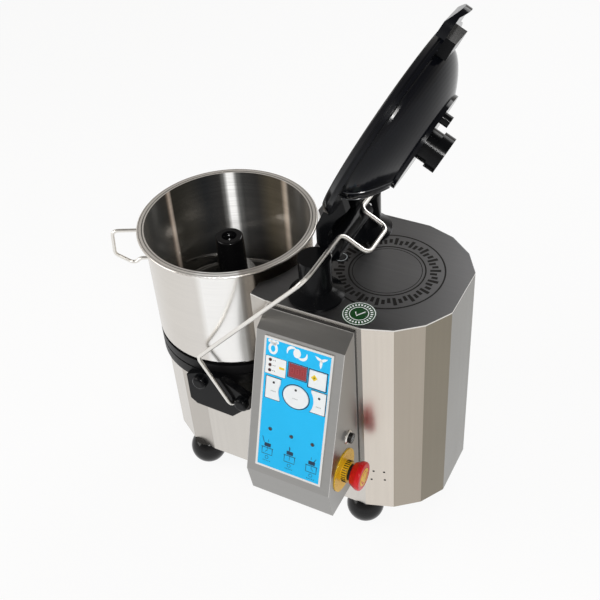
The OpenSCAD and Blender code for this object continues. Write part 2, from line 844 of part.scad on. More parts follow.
// Tapered sleeve over the bowl's centre tube, driven by the cross pin
module knife_hub() {
    color([0.08, 0.08, 0.08]) placed() translate([bowl_x, 0, 0]) difference() {
        rotate_extrude($fn = fn_round) {
            translate([0, hub_low]) square([hub_low_r, hub_shoulder - hub_low]);
            polygon([[0, hub_low], [hub_mid_r, hub_low], [hub_mid_r, hub_shoulder],
                [hub_top_r, hub_top - hub_round], [hub_top_r - hub_round, hub_top], [0, hub_top]]);
            translate([hub_top_r - hub_round, hub_top - hub_round])
                circle(r = hub_round, $fn = fn_small);
        }
        translate([0, 0, hub_low - over])
            cylinder(r = hub_bore_r, h = tube_top + over - hub_low + over, $fn = fn_round);
        cylinder(r = spindle_top_r + fit_gap, h = hub_top, $fn = fn_round);
        translate([0, 0, tube_top + hub_seat_h])
            cylinder(r = hub_hole_r, h = hub_top, $fn = fn_round);
        translate([-drive_pin_half - part_gap, -drive_pin_r - part_gap, tube_top])
            cube([2 * (drive_pin_half + part_gap), 2 * (drive_pin_r + part_gap),
                drive_pin_z - tube_top + drive_pin_r + part_gap]);
    }
}

blade_ring_w = 7;
blade_root_w = 26;
blade_tip_w = 9;
blade_steps = 14;
lower_blade_up = 3;
upper_blade_up = 30;
lower_blade_z = hub_low + lower_blade_up;
upper_blade_z = hub_low + upper_blade_up;
upper_blade_turn = 90;

// Edge of a curved blade, at share s of its length and offset w across it
function blade_point(s, w) =
    corner(0, hub_low_r + (blade_tip_r - hub_low_r) * s, blade_sweep * s * s)
    + w * [-sin(blade_sweep * s), cos(blade_sweep * s)];
function blade_width(s) = blade_root_w + (blade_tip_w - blade_root_w) * s;

module blade(z, turn) {
    color("silver") placed() translate([bowl_x, 0, z]) rotate(turn) linear_extrude(blade_t)
        difference() {
            union() {
                circle(r = hub_low_r + blade_ring_w, $fn = fn_round);
                for (side = [0, 180]) rotate(side) intersection() {
                    polygon(concat(
                        [for (k = [0:blade_steps]) blade_point(k / blade_steps,
                            -blade_width(k / blade_steps) / 2)],
                        [for (k = [blade_steps:-1:0]) blade_point(k / blade_steps,
                            blade_width(k / blade_steps) / 2)]));
                    circle(r = blade_tip_r, $fn = fn_round);
                }
            }
            circle(r = hub_low_r + fit_gap, $fn = fn_round);
        }
}

module lower_blade() { blade(lower_blade_z, 0); }
module upper_blade() { blade(upper_blade_z, upper_blade_turn); }

spacer_w = 5;

module blade_spacers() {
    z1 = lower_blade_z + blade_t;
    z2 = upper_blade_z + blade_t;
    color([0.15, 0.15, 0.15]) placed() translate([bowl_x, 0, 0]) {
        translate([0, 0, z1])
            ring(hub_low_r + spacer_w, hub_low_r + fit_gap, upper_blade_z - z1);
        translate([0, 0, z2])
            ring(hub_low_r + spacer_w, hub_low_r + fit_gap, hub_shoulder - z2);
    }
}

arm_drop = 33.7;
lid_z = hinge_z - arm_drop;
dome_steps = 12;
feed_r = 19;

// Swings its children from the closed lid's place to the open one
module opened() {
    placed() translate([hinge_x, 0, hinge_z]) rotate([0, lid_open, 0])
        translate([-hinge_x, 0, -hinge_z]) children();
}

// Puts its children on the closed lid's axis, zero at its underside
module on_lid() {
    opened() translate([bowl_x, 0, lid_z]) children();
}

crown_wall_share = 0.6;

// Half section of the dome, drawn in by d
function dome_point(s, d) = [
    crown_r + (dome_r - crown_r) * (1 - s * s) - d * (1 - s * crown_wall_share),
    lid_flange_t + (dome_h - lid_flange_t - d) * s];
module dome_plan(d) {
    polygon(concat([[0, 0], [dome_r - d, 0]],
        [for (k = [0:dome_steps]) dome_point(k / dome_steps, d)],
        [[0, dome_h - d]]));
}

lid_edge_cut = 5;

// Half section of the lid's flange, with its lower edge cut back
module flange_section() {
    polygon([[0, 0], [lid_r - lid_edge_cut, 0], [lid_r, lid_edge_cut], [lid_r, lid_flange_t],
        [0, lid_flange_t]]);
}

module lid_shell() {
    color([0.04, 0.04, 0.05]) on_lid() {
        rotate_extrude($fn = fn_round) {
            difference() {
                union() {
                    dome_plan(0);
                    flange_section();
                }
                translate([0, -over]) dome_plan(lid_t);
                square([dome_r - lid_t, lid_flange_t - lid_t]);
                square([feed_r, stopper_top]);
            }
        }
        grip();
    }
}

grip_t = 8;
grip_rise = 8;
grip_root_share = 0.97;
grip_low_share = 0.5;
grip_flat_share = 0.8;

// Grip with a rounded end, at the free end of the lid
module grip() {
    x0 = lid_r * grip_root_share;
    length = grip_reach - x0;
    difference() {
        rotate(-grip_turn) translate([-x0, 0, 0]) intersection() {
            rotate([90, 0, 0]) translate([0, 0, -grip_w / 2]) linear_extrude(grip_w)
                polygon([[0, 0], [-length * grip_low_share, 0], [-length, grip_rise],
                    [-length, grip_rise + grip_t], [-length * grip_flat_share, lid_flange_t],
                    [0, lid_flange_t]]);
            translate([0, 0, -over]) scale([length, grip_w / 2, 1])
                cylinder(r = 1, h = dome_h, $fn = fn_round);
        }
        translate([0, 0, -over]) cylinder(r = lid_r - lid_t, h = dome_h, $fn = fn_round);
    }
}

arm_w = 12;
arm_y = 40;
barrel_r = 13;
barrel_half = 50;
arm_len = 80;
web_t = 6;
arm_shares = [[-0.04, 0.1], [-0.06, 0.3], [0.1, 0.62], [0.27, 0.8], [0.2, 1.05], [0.02, 0.9],
    [-0.12, 0.7], [-0.26, 0.4], [-0.26, 0.08], [-0.12, -0.1]];
web_shares = [[-0.16, 0.05], [-0.16, 0.42], [-0.03, 0.72], [-0.08, 0.74], [-0.24, 0.42],
    [-0.24, 0.05]];

// Two arms, a web and the barrel that turns on the hinge pin
module lid_hinge_arms() {
    color([0.06, 0.06, 0.06]) difference() {
        placed() translate([hinge_x, 0, hinge_z]) {
            for (side = [-1, 1]) slab(arm_shares, side * arm_y, arm_w);
            slab(web_shares, 0, 2 * arm_y);
            rotate([90, 0, 0]) translate([0, 0, -barrel_half])
                cylinder(r = barrel_r, h = 2 * barrel_half, $fn = fn_round);
        }
        placed() translate([hinge_x, 0, hinge_z]) rotate([90, 0, 0])
            translate([0, 0, -barrel_half - over])
                cylinder(r = pin_r + fit_gap, h = 2 * (barrel_half + over), $fn = fn_round);
        on_lid() rotate_extrude($fn = fn_round) {
            dome_plan(0);
            square([lid_r, lid_flange_t]);
        }
    }
}

// Upright slab of width w at y, from an outline in shares of the arm's length
module slab(shares, y, w) {
    translate([0, y + w / 2, 0]) rotate([90, 0, 0]) linear_extrude(w)
        polygon([for (s = shares) arm_len * s]);
}

lid_seal_t = 1.4;

module lid_gasket() {
    color([0.5, 0.5, 0.5]) on_lid() translate([0, 0, -lid_seal_t])
        ring(rim_r, bowl_r, lid_seal_t);
}

crown_rise = 4;

module lid_crown() {
    color([0.03, 0.03, 0.03]) on_lid() translate([0, 0, dome_h]) difference() {
        ring(crown_r, feed_r, crown_rise);
        translate([-plug_u, 0, -over]) cylinder(r = plug_bore_r, h = 2 * over + crown_rise,
            $fn = fn_small);
    }
}

plug_bore_r = 4;
plug_h = 10;

module port_plug() {
    color([0.05, 0.05, 0.05]) on_lid() translate([-plug_u, 0, dome_h]) {
        cylinder(r = plug_bore_r - fit_gap, h = crown_rise, $fn = fn_small);
        translate([0, 0, crown_rise]) cylinder(r = plug_r, h = plug_h, $fn = fn_small);
    }
}

stopper_plug_l = 30;
stopper_step = 3;
stopper_step_h = 12;

// Stopper in the feed opening
module stopper() {
    color([0.05, 0.05, 0.05]) on_lid() {
        translate([0, 0, dome_h - stopper_plug_l])
            cylinder(r = feed_r - fit_gap, h = stopper_plug_l + crown_rise, $fn = fn_round);
        translate([0, 0, dome_h + crown_rise])
            cylinder(r = stopper_stem_r + stopper_step, h = stopper_step_h, $fn = fn_round);
        translate([0, 0, dome_h + crown_rise + stopper_step_h])
            cylinder(r = stopper_r, h = stopper_top - dome_h - crown_rise - stopper_step_h,
                $fn = fn_round);
    }
}

catch_inset = 1;
catch_l = 22;
catch_w = 43;
catch_h = 12;
catch_half_turn = asin(catch_w / 2 / lid_r);

// Block on the grip that the body's sensor detects
module lid_catch() {
    color([0.04, 0.04, 0.04]) on_lid() rotate(-grip_turn)
        translate([catch_inset - lid_r * cos(catch_half_turn), -catch_w / 2, lid_flange_t])
            cube([catch_l, catch_w, catch_h]);
}

post_foot_edge = 3;

// Two posts that carry the hinge pin
module hinge_posts() {
    h = hinge_z - tower_z + post_top_rise;
    color([0.06, 0.06, 0.06]) placed() for (side = [-1, 1]) difference() {
        translate([post_x, side * post_y, tower_z]) rotate_extrude($fn = fn_round)
            polygon([[0, 0], [post_foot_r, 0], [post_foot_r, post_foot_edge],
                [post_r, post_foot_h], [post_r, h], [0, h]]);
        translate([hinge_x, pin_half, hinge_z]) rotate([90, 0, 0])
            cylinder(r = pin_r + fit_gap, h = 2 * pin_half, $fn = fn_round);
    }
}

pin_inset = 9;
pin_half = post_y + post_r - pin_inset;

module hinge_pin() {
    color("silver") placed() translate([hinge_x, 0, hinge_z]) rotate([90, 0, 0])
        translate([0, 0, -pin_half]) cylinder(r = pin_r, h = 2 * pin_half, $fn = fn_round);
}

bail_knee_dx = -45;
bail_knee_dz = 77.5;
bail_peg = 16;
bail_peg_r = 2.5;
bail_inner_y = bail_y - bail_bend_r - bail_wire_r;

// Swinging wire that holds the closed lid, with a bow that clears the stopper
module bail() {
    px = bail_pivot_x;
    pz = wall_z + bail_pivot_z;
    bx = hinge_x + bail_bar_dx;
    bz = hinge_z + bail_bar_dz;
    half = [[px, bail_inner_y, pz], [px, bail_y, pz],
        [px + bail_knee_dx, bail_y, pz + bail_knee_dz], [bx, bail_y, bz],
        [bx, bow_half_w, bz], [bx + bow_dx, bow_half_w, bz - bow_dz]];
    other = [for (k = [len(half) - 1:-1:0]) [half[k][0], -half[k][1], half[k][2]]];
    bends = [bail_bend_r, bail_bend_r, bail_bend_r, bail_corner_r, bail_bend_r, bail_bend_r];
    color("silver") placed() {
        wire(concat(half, other), bail_wire_r,
            concat(bends, [for (k = [len(bends) - 1:-1:0]) bends[k]]));
        for (side = [-1, 1]) scale([1, side, 1])
            translate([px, bail_y - bail_peg, pz]) rotate([-90, 0, 0])
                cylinder(r = bail_peg_r, h = bail_inner_y + bail_wire_r / 2 - bail_y + bail_peg,
                    $fn = fn_small);
    }
}

bracket_shares = [[-1.5, -0.4], [-1.3, -0.56], [-0.12, -0.6], [0.22, -0.25], [0.5, -0.05],
    [0.5, 0.35], [-0.35, 0.8], [-1.0, 0.8], [-1.5, 0.55]];
bracket_unit = 50;
bracket_boss_d = 20;
bracket_boss_shares = [[-1.05, 0.45], [0.28, 0.12]];
bracket_boss_round = 5;
bail_socket_gap = 1.5;

module bracket_boss() {
    rotate_extrude($fn = fn_round) {
        square([bracket_boss_r - bracket_boss_round, bracket_boss_d]);
        square([bracket_boss_r, bracket_boss_d - bracket_boss_round]);
        translate([bracket_boss_r - bracket_boss_round, bracket_boss_d - bracket_boss_round])
            circle(r = bracket_boss_round, $fn = fn_small);
    }
}

// Black bearing blocks of the bail on the front and back walls
module bail_brackets() {
    z0 = wall_z + bail_pivot_z;
    color([0.06, 0.06, 0.06]) placed() difference() {
        for (side = [-1, 1]) translate([bail_pivot_x, side * half_depth, z0]) scale([1, side, 1])
            difference() {
                union() {
                    rotate([90, 0, 0]) mirror([0, 0, 1]) linear_extrude(bracket_d)
                        polygon([for (s = bracket_shares) bracket_unit * s]);
                    for (s = bracket_boss_shares)
                        translate([bracket_unit * s[0], 0, bracket_unit * s[1]])
                            rotate([-90, 0, 0]) bracket_boss();
                }
                translate([0, bail_inner_y - half_depth - part_gap, 0]) rotate([-90, 0, 0])
                    cylinder(r = bail_wire_r + bail_socket_gap, h = bracket_boss_d,
                        $fn = fn_small);
                translate([0, bail_y - half_depth - bail_peg - part_gap, 0]) rotate([-90, 0, 0])
                    cylinder(r = bail_peg_r + fit_gap, h = bail_peg + over, $fn = fn_small);
            }
        translate([0, 0, base_z]) hollow_disc(bowl_r + part_gap, seat_h);
    }
}

panel_run = sqrt(pow(box_low_d - box_top_d, 2) + pow(box_top_z - box_low_z, 2));
panel_tilt = atan((box_top_z - box_low_z) / (box_low_d - box_top_d));

// Section of the box from the wall outwards, drawn in by d
module box_section(d) {
    back = -half_depth - gasket_t;
    polygon([[back, box_back_z - d], [-half_depth - box_top_d + d / 2, box_top_z - d],
        [-half_depth - box_low_d + d, box_low_z], [-half_depth - box_bottom_d + d, box_bottom_z + d],
        [back, box_bottom_z + d]]);
}

// Extrudes a y-z section along x from x0
module along_x(x0, w) {
    translate([x0, 0, wall_z]) rotate([90, 0, 90]) linear_extrude(w) children();
}

// Puts its children on the panel's top left corner: x across, y up the slope, z outwards
module on_panel() {
    placed() translate([box_left, -half_depth - box_top_d, wall_z + box_top_z])
        rotate([panel_tilt, 0, 0]) children();
}

module control_box() {
    color("gray") difference() {
        placed() difference() {
            along_x(box_left, box_w) box_section(0);
            along_x(box_left + sheet_t, box_w - 2 * sheet_t) box_section(sheet_t);
            along_x(box_left + sheet_t, box_w - 2 * sheet_t) translate([over, 0])
                box_back_opening();
            side_hole(stop_d, stop_z, stop_stem_r + part_gap);
            side_hole(switch_d, switch_z, switch_r + part_gap);
        }
        on_panel() translate([membrane_side + frame_w, -membrane_top - membrane_l + frame_w,
            -sheet_t * 2])
            cube([box_w - 2 * (membrane_side + frame_w), membrane_l - 2 * frame_w, sheet_t * 4]);
    }
}

// Opening in the back of the box, where it meets the wall
module box_back_opening() {
    back = -half_depth - gasket_t;
    translate([back - 2 * over, box_bottom_z + sheet_t])
        square([2 * over, box_back_z - box_bottom_z - 2 * sheet_t - over]);
}

// Round hole in the right side of the box
module side_hole(d, z, r) {
    translate([box_right - sheet_t - over, -half_depth - d, wall_z + z]) rotate([0, 90, 0])
        cylinder(r = r, h = sheet_t + 2 * over, $fn = fn_small);
}

module box_gasket() {
    color([0.05, 0.05, 0.05]) placed() translate([box_left, -half_depth - gasket_t, wall_z])
        difference() {
            translate([0, 0, box_bottom_z]) cube([box_w, gasket_t, box_back_z - box_bottom_z]);
            translate([gasket_w, -over, box_bottom_z + gasket_w])
                cube([box_w - 2 * gasket_w, gasket_t + 2 * over,
                    box_back_z - box_bottom_z - 2 * gasket_w]);
        }
}

gasket_w = 8;
frame_t = 1.6;

module panel_frame() {
    color("silver") on_panel() translate([membrane_side, -membrane_top - membrane_l, 0])
        difference() {
            cube([box_w - 2 * membrane_side, membrane_l, frame_t]);
            translate([frame_w, frame_w, -over])
                cube([box_w - 2 * (membrane_side + frame_w), membrane_l - 2 * frame_w,
                    frame_t + 2 * over]);
        }
}

key_t = 2;
key_backing = 1;
key_places_top = 61;
key_h = 31;
left_key_x = 20;
key_w = 20.5;
right_key_inset = 38.2;
right_key_x = box_w - right_key_inset;
timer_inset = 43.2;
timer_x = box_w - timer_inset;
timer_w = 23.5;
timer_top = 33;
timer_h = 24;
mid_key_off = 2.2;
mid_key_x = box_w / 2 + mid_key_off;
mid_key_y = 78.3;
notch_r = 23.5;
display_inset = 72.2;
display_x = box_w - display_inset;
display_w = 25;
display_top = 32.5;
display_h = 19.5;

// Outline of a key, grown by g for its opening
module left_key_plan(g = 0) {
    difference() {
        translate([left_key_x - g, -key_places_top - key_h - g]) square([key_w + 2 * g,
            key_h + 2 * g]);
        translate([mid_key_x, -mid_key_y]) circle(r = notch_r + mid_key_gap - g, $fn = fn_round);
    }
}
module right_key_plan(g = 0) {
    difference() {
        translate([right_key_x - g, -key_places_top - key_h - g]) square([key_w + 2 * g,
            key_h + 2 * g]);
        translate([mid_key_x, -mid_key_y]) circle(r = notch_r + mid_key_gap - g, $fn = fn_round);
    }
}
module mid_key_plan(g = 0) {
    translate([mid_key_x, -mid_key_y]) scale([mid_key_rx + g, mid_key_ry + g])
        circle(r = 1, $fn = fn_round);
}
module timer_key_plan(g = 0) {
    translate([timer_x - g, -timer_top - timer_h - g]) square([timer_w + 2 * g,
        timer_h + 2 * g]);
}
module display_plan(g = 0) {
    translate([display_x - g, -display_top - display_h - g]) square([display_w + 2 * g,
        display_h + 2 * g]);
}

mid_key_gap = 1.5;

// Printed membrane with openings for the display and the keys
module membrane() {
    inset = membrane_side + frame_w + fit_gap;
    color([0.27, 0.77, 0.96]) on_panel() translate([0, 0, frame_t - membrane_t])
        linear_extrude(membrane_t) difference() {
            translate([inset, -membrane_top - membrane_l + frame_w + fit_gap])
                square([box_w - 2 * inset, membrane_l - 2 * (frame_w + fit_gap)]);
            left_key_plan(part_gap);
            right_key_plan(part_gap);
            mid_key_plan(part_gap);
            timer_key_plan(part_gap);
            display_plan(fit_gap);
        }
}

module key_body() {
    on_panel() translate([0, 0, frame_t + key_travel - key_t]) linear_extrude(key_t) children();
}

module key_left() { color("white") key_body() left_key_plan(); }
module key_right() { color("white") key_body() right_key_plan(); }
module key_middle() { color("white") key_body() mid_key_plan(); }
module key_timer() { color("white") key_body() timer_key_plan(); }

module display_window() {
    color([0.5, 0.03, 0.03]) on_panel() translate([0, 0, frame_t - membrane_t])
        linear_extrude(membrane_t) display_plan();
}

board_t = 1.6;
board_gap = 6;
board_margin = 6;
board_stay = 5;
board_stay_w = 3;

// Circuit board behind the panel, on four stays
module control_board() {
    x0 = membrane_side + frame_w;
    y0 = -membrane_top - membrane_l + frame_w;
    w = box_w - 2 * x0;
    top = frame_t - membrane_t - board_gap;
    color("darkgreen") on_panel() {
        translate([x0 - board_margin, y0 - board_margin, top - board_t])
            cube([w + 2 * board_margin, membrane_l - 2 * frame_w + 2 * board_margin, board_t]);
        for (x = [x0 - board_stay, x0 + w + board_stay - board_stay_w],
            y = [y0 - board_stay, y0 + membrane_l - 2 * frame_w + board_stay - board_stay_w])
            translate([x, y, top]) cube([board_stay_w, board_stay_w, -sheet_t - top - fit_gap]);
    }
}

stop_disc_t = 1.5;
stop_collar_r = 14.5;
stop_collar_h = 14;
stop_stem_r = 11;
stop_inner_l = 34;
stop_head_t = 15;
stop_neck_r = 15.5;

// Puts its children on the right side of the box, with +Z outwards
module on_side(d, z) {
    placed() translate([box_right, -half_depth - d, wall_z + z]) rotate([0, 90, 0]) children();
}

module stop_disc() {
    color("gold") on_side(stop_d, stop_z) {
        ring(stop_disc_r, stop_stem_r + part_gap, stop_disc_t);
        translate([0, 0, stop_disc_t])
            ring(stop_collar_r, stop_stem_r + part_gap, stop_collar_h - stop_disc_t - stop_travel);
    }
}

module stop_stem() {
    color([0.1, 0.1, 0.1]) on_side(stop_d, stop_z)
        translate([0, 0, stop_travel - stop_inner_l])
            cylinder(r = stop_stem_r, h = stop_inner_l + stop_reach - stop_head_t - stop_travel,
                $fn = fn_round);
}

stop_dish = 3;

// Mushroom head that flares from its neck to a rounded rim
module stop_head() {
    color("red") on_side(stop_d, stop_z) translate([0, 0, stop_reach - stop_head_t])
        rotate_extrude($fn = fn_round) {
            polygon([[0, 0], [stop_neck_r, 0], [stop_head_r, stop_head_t - 2 * stop_dish],
                [stop_head_r, stop_head_t - stop_dish], [stop_head_r - stop_dish, stop_head_t],
                [0, stop_head_t]]);
            translate([stop_head_r - stop_dish, stop_head_t - stop_dish])
                circle(r = stop_dish, $fn = fn_small);
        }
}

module round_switch() {
    color([0.1, 0.1, 0.1]) on_side(switch_d, switch_z) translate([0, 0, -sheet_t - switch_inner])
        cylinder(r = switch_r, h = sheet_t + switch_inner + switch_reach, $fn = fn_small);
}

switch_inner = 12;

base_shell();
tower_shell();
tower_inner_wall();
base_top_plate();
tower_top_plate();
bottom_plate();
bottom_screws();
foot_front_left();
foot_front_right();
foot_rear_left();
foot_rear_right();
foot_nuts();
chassis_plate();
chassis_posts();
bearing_housing();
spindle_bearings();
shaft_seal();
seat();
spindle();
drive_pin();
big_pulley();
belt();
motor_housing();
motor_end_cap();
motor_stator();
motor_bearings();
motor_rotor();
motor_shaft();
small_pulley();
bowl();
bowl_handle();
knife_hub();
lower_blade();
upper_blade();
blade_spacers();
lid_shell();
lid_hinge_arms();
lid_gasket();
lid_crown();
lid_catch();
stopper();
port_plug();
hinge_posts();
hinge_pin();
bail();
bail_brackets();
control_box();
box_gasket();
panel_frame();
membrane();
display_window();
control_board();
key_left();
key_right();
key_middle();
key_timer();
stop_disc();
stop_stem();
stop_head();
round_switch();
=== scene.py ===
import json
import math

import bmesh
import bpy
from mathutils import Matrix, Vector


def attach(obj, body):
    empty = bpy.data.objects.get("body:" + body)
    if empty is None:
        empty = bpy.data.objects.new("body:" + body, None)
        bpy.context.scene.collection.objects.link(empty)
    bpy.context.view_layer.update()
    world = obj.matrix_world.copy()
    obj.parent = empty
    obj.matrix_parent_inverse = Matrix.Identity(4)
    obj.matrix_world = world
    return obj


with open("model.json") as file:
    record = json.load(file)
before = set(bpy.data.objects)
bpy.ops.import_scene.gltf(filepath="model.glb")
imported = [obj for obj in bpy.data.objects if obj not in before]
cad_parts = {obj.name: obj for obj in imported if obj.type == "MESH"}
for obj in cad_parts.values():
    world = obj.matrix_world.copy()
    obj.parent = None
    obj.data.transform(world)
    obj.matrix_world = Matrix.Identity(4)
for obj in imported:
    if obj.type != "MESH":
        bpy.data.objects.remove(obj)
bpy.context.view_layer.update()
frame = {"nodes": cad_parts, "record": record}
nodes = frame["nodes"]
mm = 0.001
print("frame loaded:", len(nodes), "nodes")

# places of the machine, in mm
place = {
    "towerZ": 386.5, "rimZ": 401.8, "midY": 36.45, "bowlX": -95.175, "towerX": 142.225,
    "lidCentre": (143.456, 36.45, 615.705), "lidOpen": 117.5,
    "panelCorner": (27.125, -105.55, 365.0), "panelTilt": 72.34,
    "stop": (149.325, -123.95, 170.8), "switch": (149.325, -106.95, 218.1),
}


# shader helpers

cloud = {"grain": (9, 9, 9), "detail": 4.0, "share": 0.5}    # slow change of tone over every finish
bumpDepth = {"steel": 0.0004, "plastic": 0.0002}    # in metres


def newMat(name):
    mat = bpy.data.materials.new(name)
    mat.use_nodes = True
    shader = mat.node_tree.nodes["Principled BSDF"]
    return mat, mat.node_tree, shader


def link(tree, a, b):
    tree.links.new(a, b)


def feed(tree, value, socket):
    # value is another node's socket, a number or a colour
    if isinstance(value, bpy.types.NodeSocket):
        link(tree, value, socket)
    elif isinstance(value, tuple):
        socket.default_value = (*value, 1)
    else:
        socket.default_value = value


def grainNoise(tree, scale, detail=3.0):
    coord = tree.nodes.new("ShaderNodeTexCoord")
    mapping = tree.nodes.new("ShaderNodeMapping")
    mapping.inputs["Scale"].default_value = scale
    noise = tree.nodes.new("ShaderNodeTexNoise")
    noise.inputs["Scale"].default_value = 1.0
    noise.inputs["Detail"].default_value = detail
    link(tree, coord.outputs["Object"], mapping.inputs["Vector"])
    link(tree, mapping.outputs["Vector"], noise.inputs["Vector"])
    return noise.outputs["Fac"]


def spread(tree, value, low, high, fromLow=0.3, fromHigh=0.7):
    node = tree.nodes.new("ShaderNodeMapRange")
    node.inputs["From Min"].default_value = fromLow
    node.inputs["From Max"].default_value = fromHigh
    node.inputs["To Min"].default_value = low
    node.inputs["To Max"].default_value = high
    link(tree, value, node.inputs["Value"])
    return node.outputs["Result"]


def combined(tree, operation, a, b):
    node = tree.nodes.new("ShaderNodeMath")
    node.operation = operation
    feed(tree, a, node.inputs[0])
    feed(tree, b, node.inputs[1])
    return node.outputs[0]


def mixed(tree, factor, a, b, blend="MIX"):
    node = tree.nodes.new("ShaderNodeMix")
    node.data_type = "RGBA"
    node.blend_type = blend
    feed(tree, factor, node.inputs["Factor"])
    feed(tree, a, node.inputs["A"])
    feed(tree, b, node.inputs["B"])
    return node.outputs["Result"]


def rampOf(tree, value, stops, interpolation="LINEAR"):
    # stops are (position, colour) pairs in rising order
    ramp = tree.nodes.new("ShaderNodeValToRGB")
    ramp.color_ramp.interpolation = interpolation
    points = ramp.color_ramp.elements
    points[0].position, points[1].position = stops[0][0], stops[-1][0]
    points[0].color, points[1].color = (*stops[0][1], 1), (*stops[-1][1], 1)
    for position, colour in stops[1:-1]:
        points.new(position).color = (*colour, 1)
    link(tree, value, ramp.inputs["Fac"])
    return ramp.outputs["Color"]


def twoTone(tree, value, dark, light):
    return rampOf(tree, value, ((0.3, dark), (0.7, light)))


def retint(tree, shader, colour):
    # multiplies the base colour by another one
    plain = shader.inputs["Base Color"].links[0].from_socket
    link(tree, mixed(tree, 1.0, plain, colour, "MULTIPLY"), shader.inputs["Base Color"])


def normalZ(tree):
    geometry = tree.nodes.new("ShaderNodeNewGeometry")
    split = tree.nodes.new("ShaderNodeSeparateXYZ")
    link(tree, geometry.outputs["True Normal"], split.inputs[0])
    return split.outputs["Z"]


def tone(colour, k):
    return tuple(min(1.0, c * k) for c in colour)


def finishMat(tree, shader, colour, light, rough, swing, grain, bump, bumpDistance):
    # base colour, roughness and bump follow the grain and a slow cloud
    noise = grainNoise(tree, grain)
    total = combined(tree, "ADD", noise, grainNoise(tree, cloud["grain"], cloud["detail"]))
    mean = combined(tree, "MULTIPLY", total, cloud["share"])
    link(tree, twoTone(tree, mean, colour, light), shader.inputs["Base Color"])
    link(tree, spread(tree, mean, rough - swing, rough + swing), shader.inputs["Roughness"])
    bumpNode = tree.nodes.new("ShaderNodeBump")
    bumpNode.inputs["Strength"].default_value = bump
    bumpNode.inputs["Distance"].default_value = bumpDistance
    link(tree, noise, bumpNode.inputs["Height"])
    link(tree, bumpNode.outputs["Normal"], shader.inputs["Normal"])


def steel(name, colour, rough=0.22, swing=0.05, grain=(300, 300, 6), bump=0.06, aniso=0.0, contrast=0.06):
    mat, tree, shader = newMat(name)
    shader.inputs["Metallic"].default_value = 1.0
    finishMat(tree, shader, tone(colour, 1 - contrast), tone(colour, 1 + contrast), rough, swing, grain,
              bump, bumpDepth["steel"])
    if aniso:
        shader.inputs["Anisotropic"].default_value = aniso
        tangent = tree.nodes.new("ShaderNodeTangent")
        tangent.direction_type = "RADIAL"
        tangent.axis = "Z"
        link(tree, tangent.outputs["Tangent"], shader.inputs["Tangent"])
    return mat


def plastic(name, colour, rough=0.35, swing=0.06, grain=(900, 900, 900), bump=0.08, coat=0.0, contrast=0.12,
            gleam=0.35):
    mat, tree, shader = newMat(name)
    shader.inputs["Specular IOR Level"].default_value = gleam
    shader.inputs["Coat Weight"].default_value = coat
    shader.inputs["Coat Roughness"].default_value = 0.08
    finishMat(tree, shader, tone(colour, 1 - contrast), tone(colour, 1 + contrast), rough, swing, grain,
              bump, bumpDepth["plastic"])
    return mat


def glow(name, colour, strength):
    mat, tree, shader = newMat(name)
    noise = grainNoise(tree, (700, 700, 700), 2.0)
    link(tree, twoTone(tree, noise, tone(colour, 0.85), colour), shader.inputs["Base Color"])
    shader.inputs["Emission Color"].default_value = (*colour, 1)
    shader.inputs["Emission Strength"].default_value = strength
    shader.inputs["Roughness"].default_value = 0.3
    return mat


# finishes of the CAD nodes

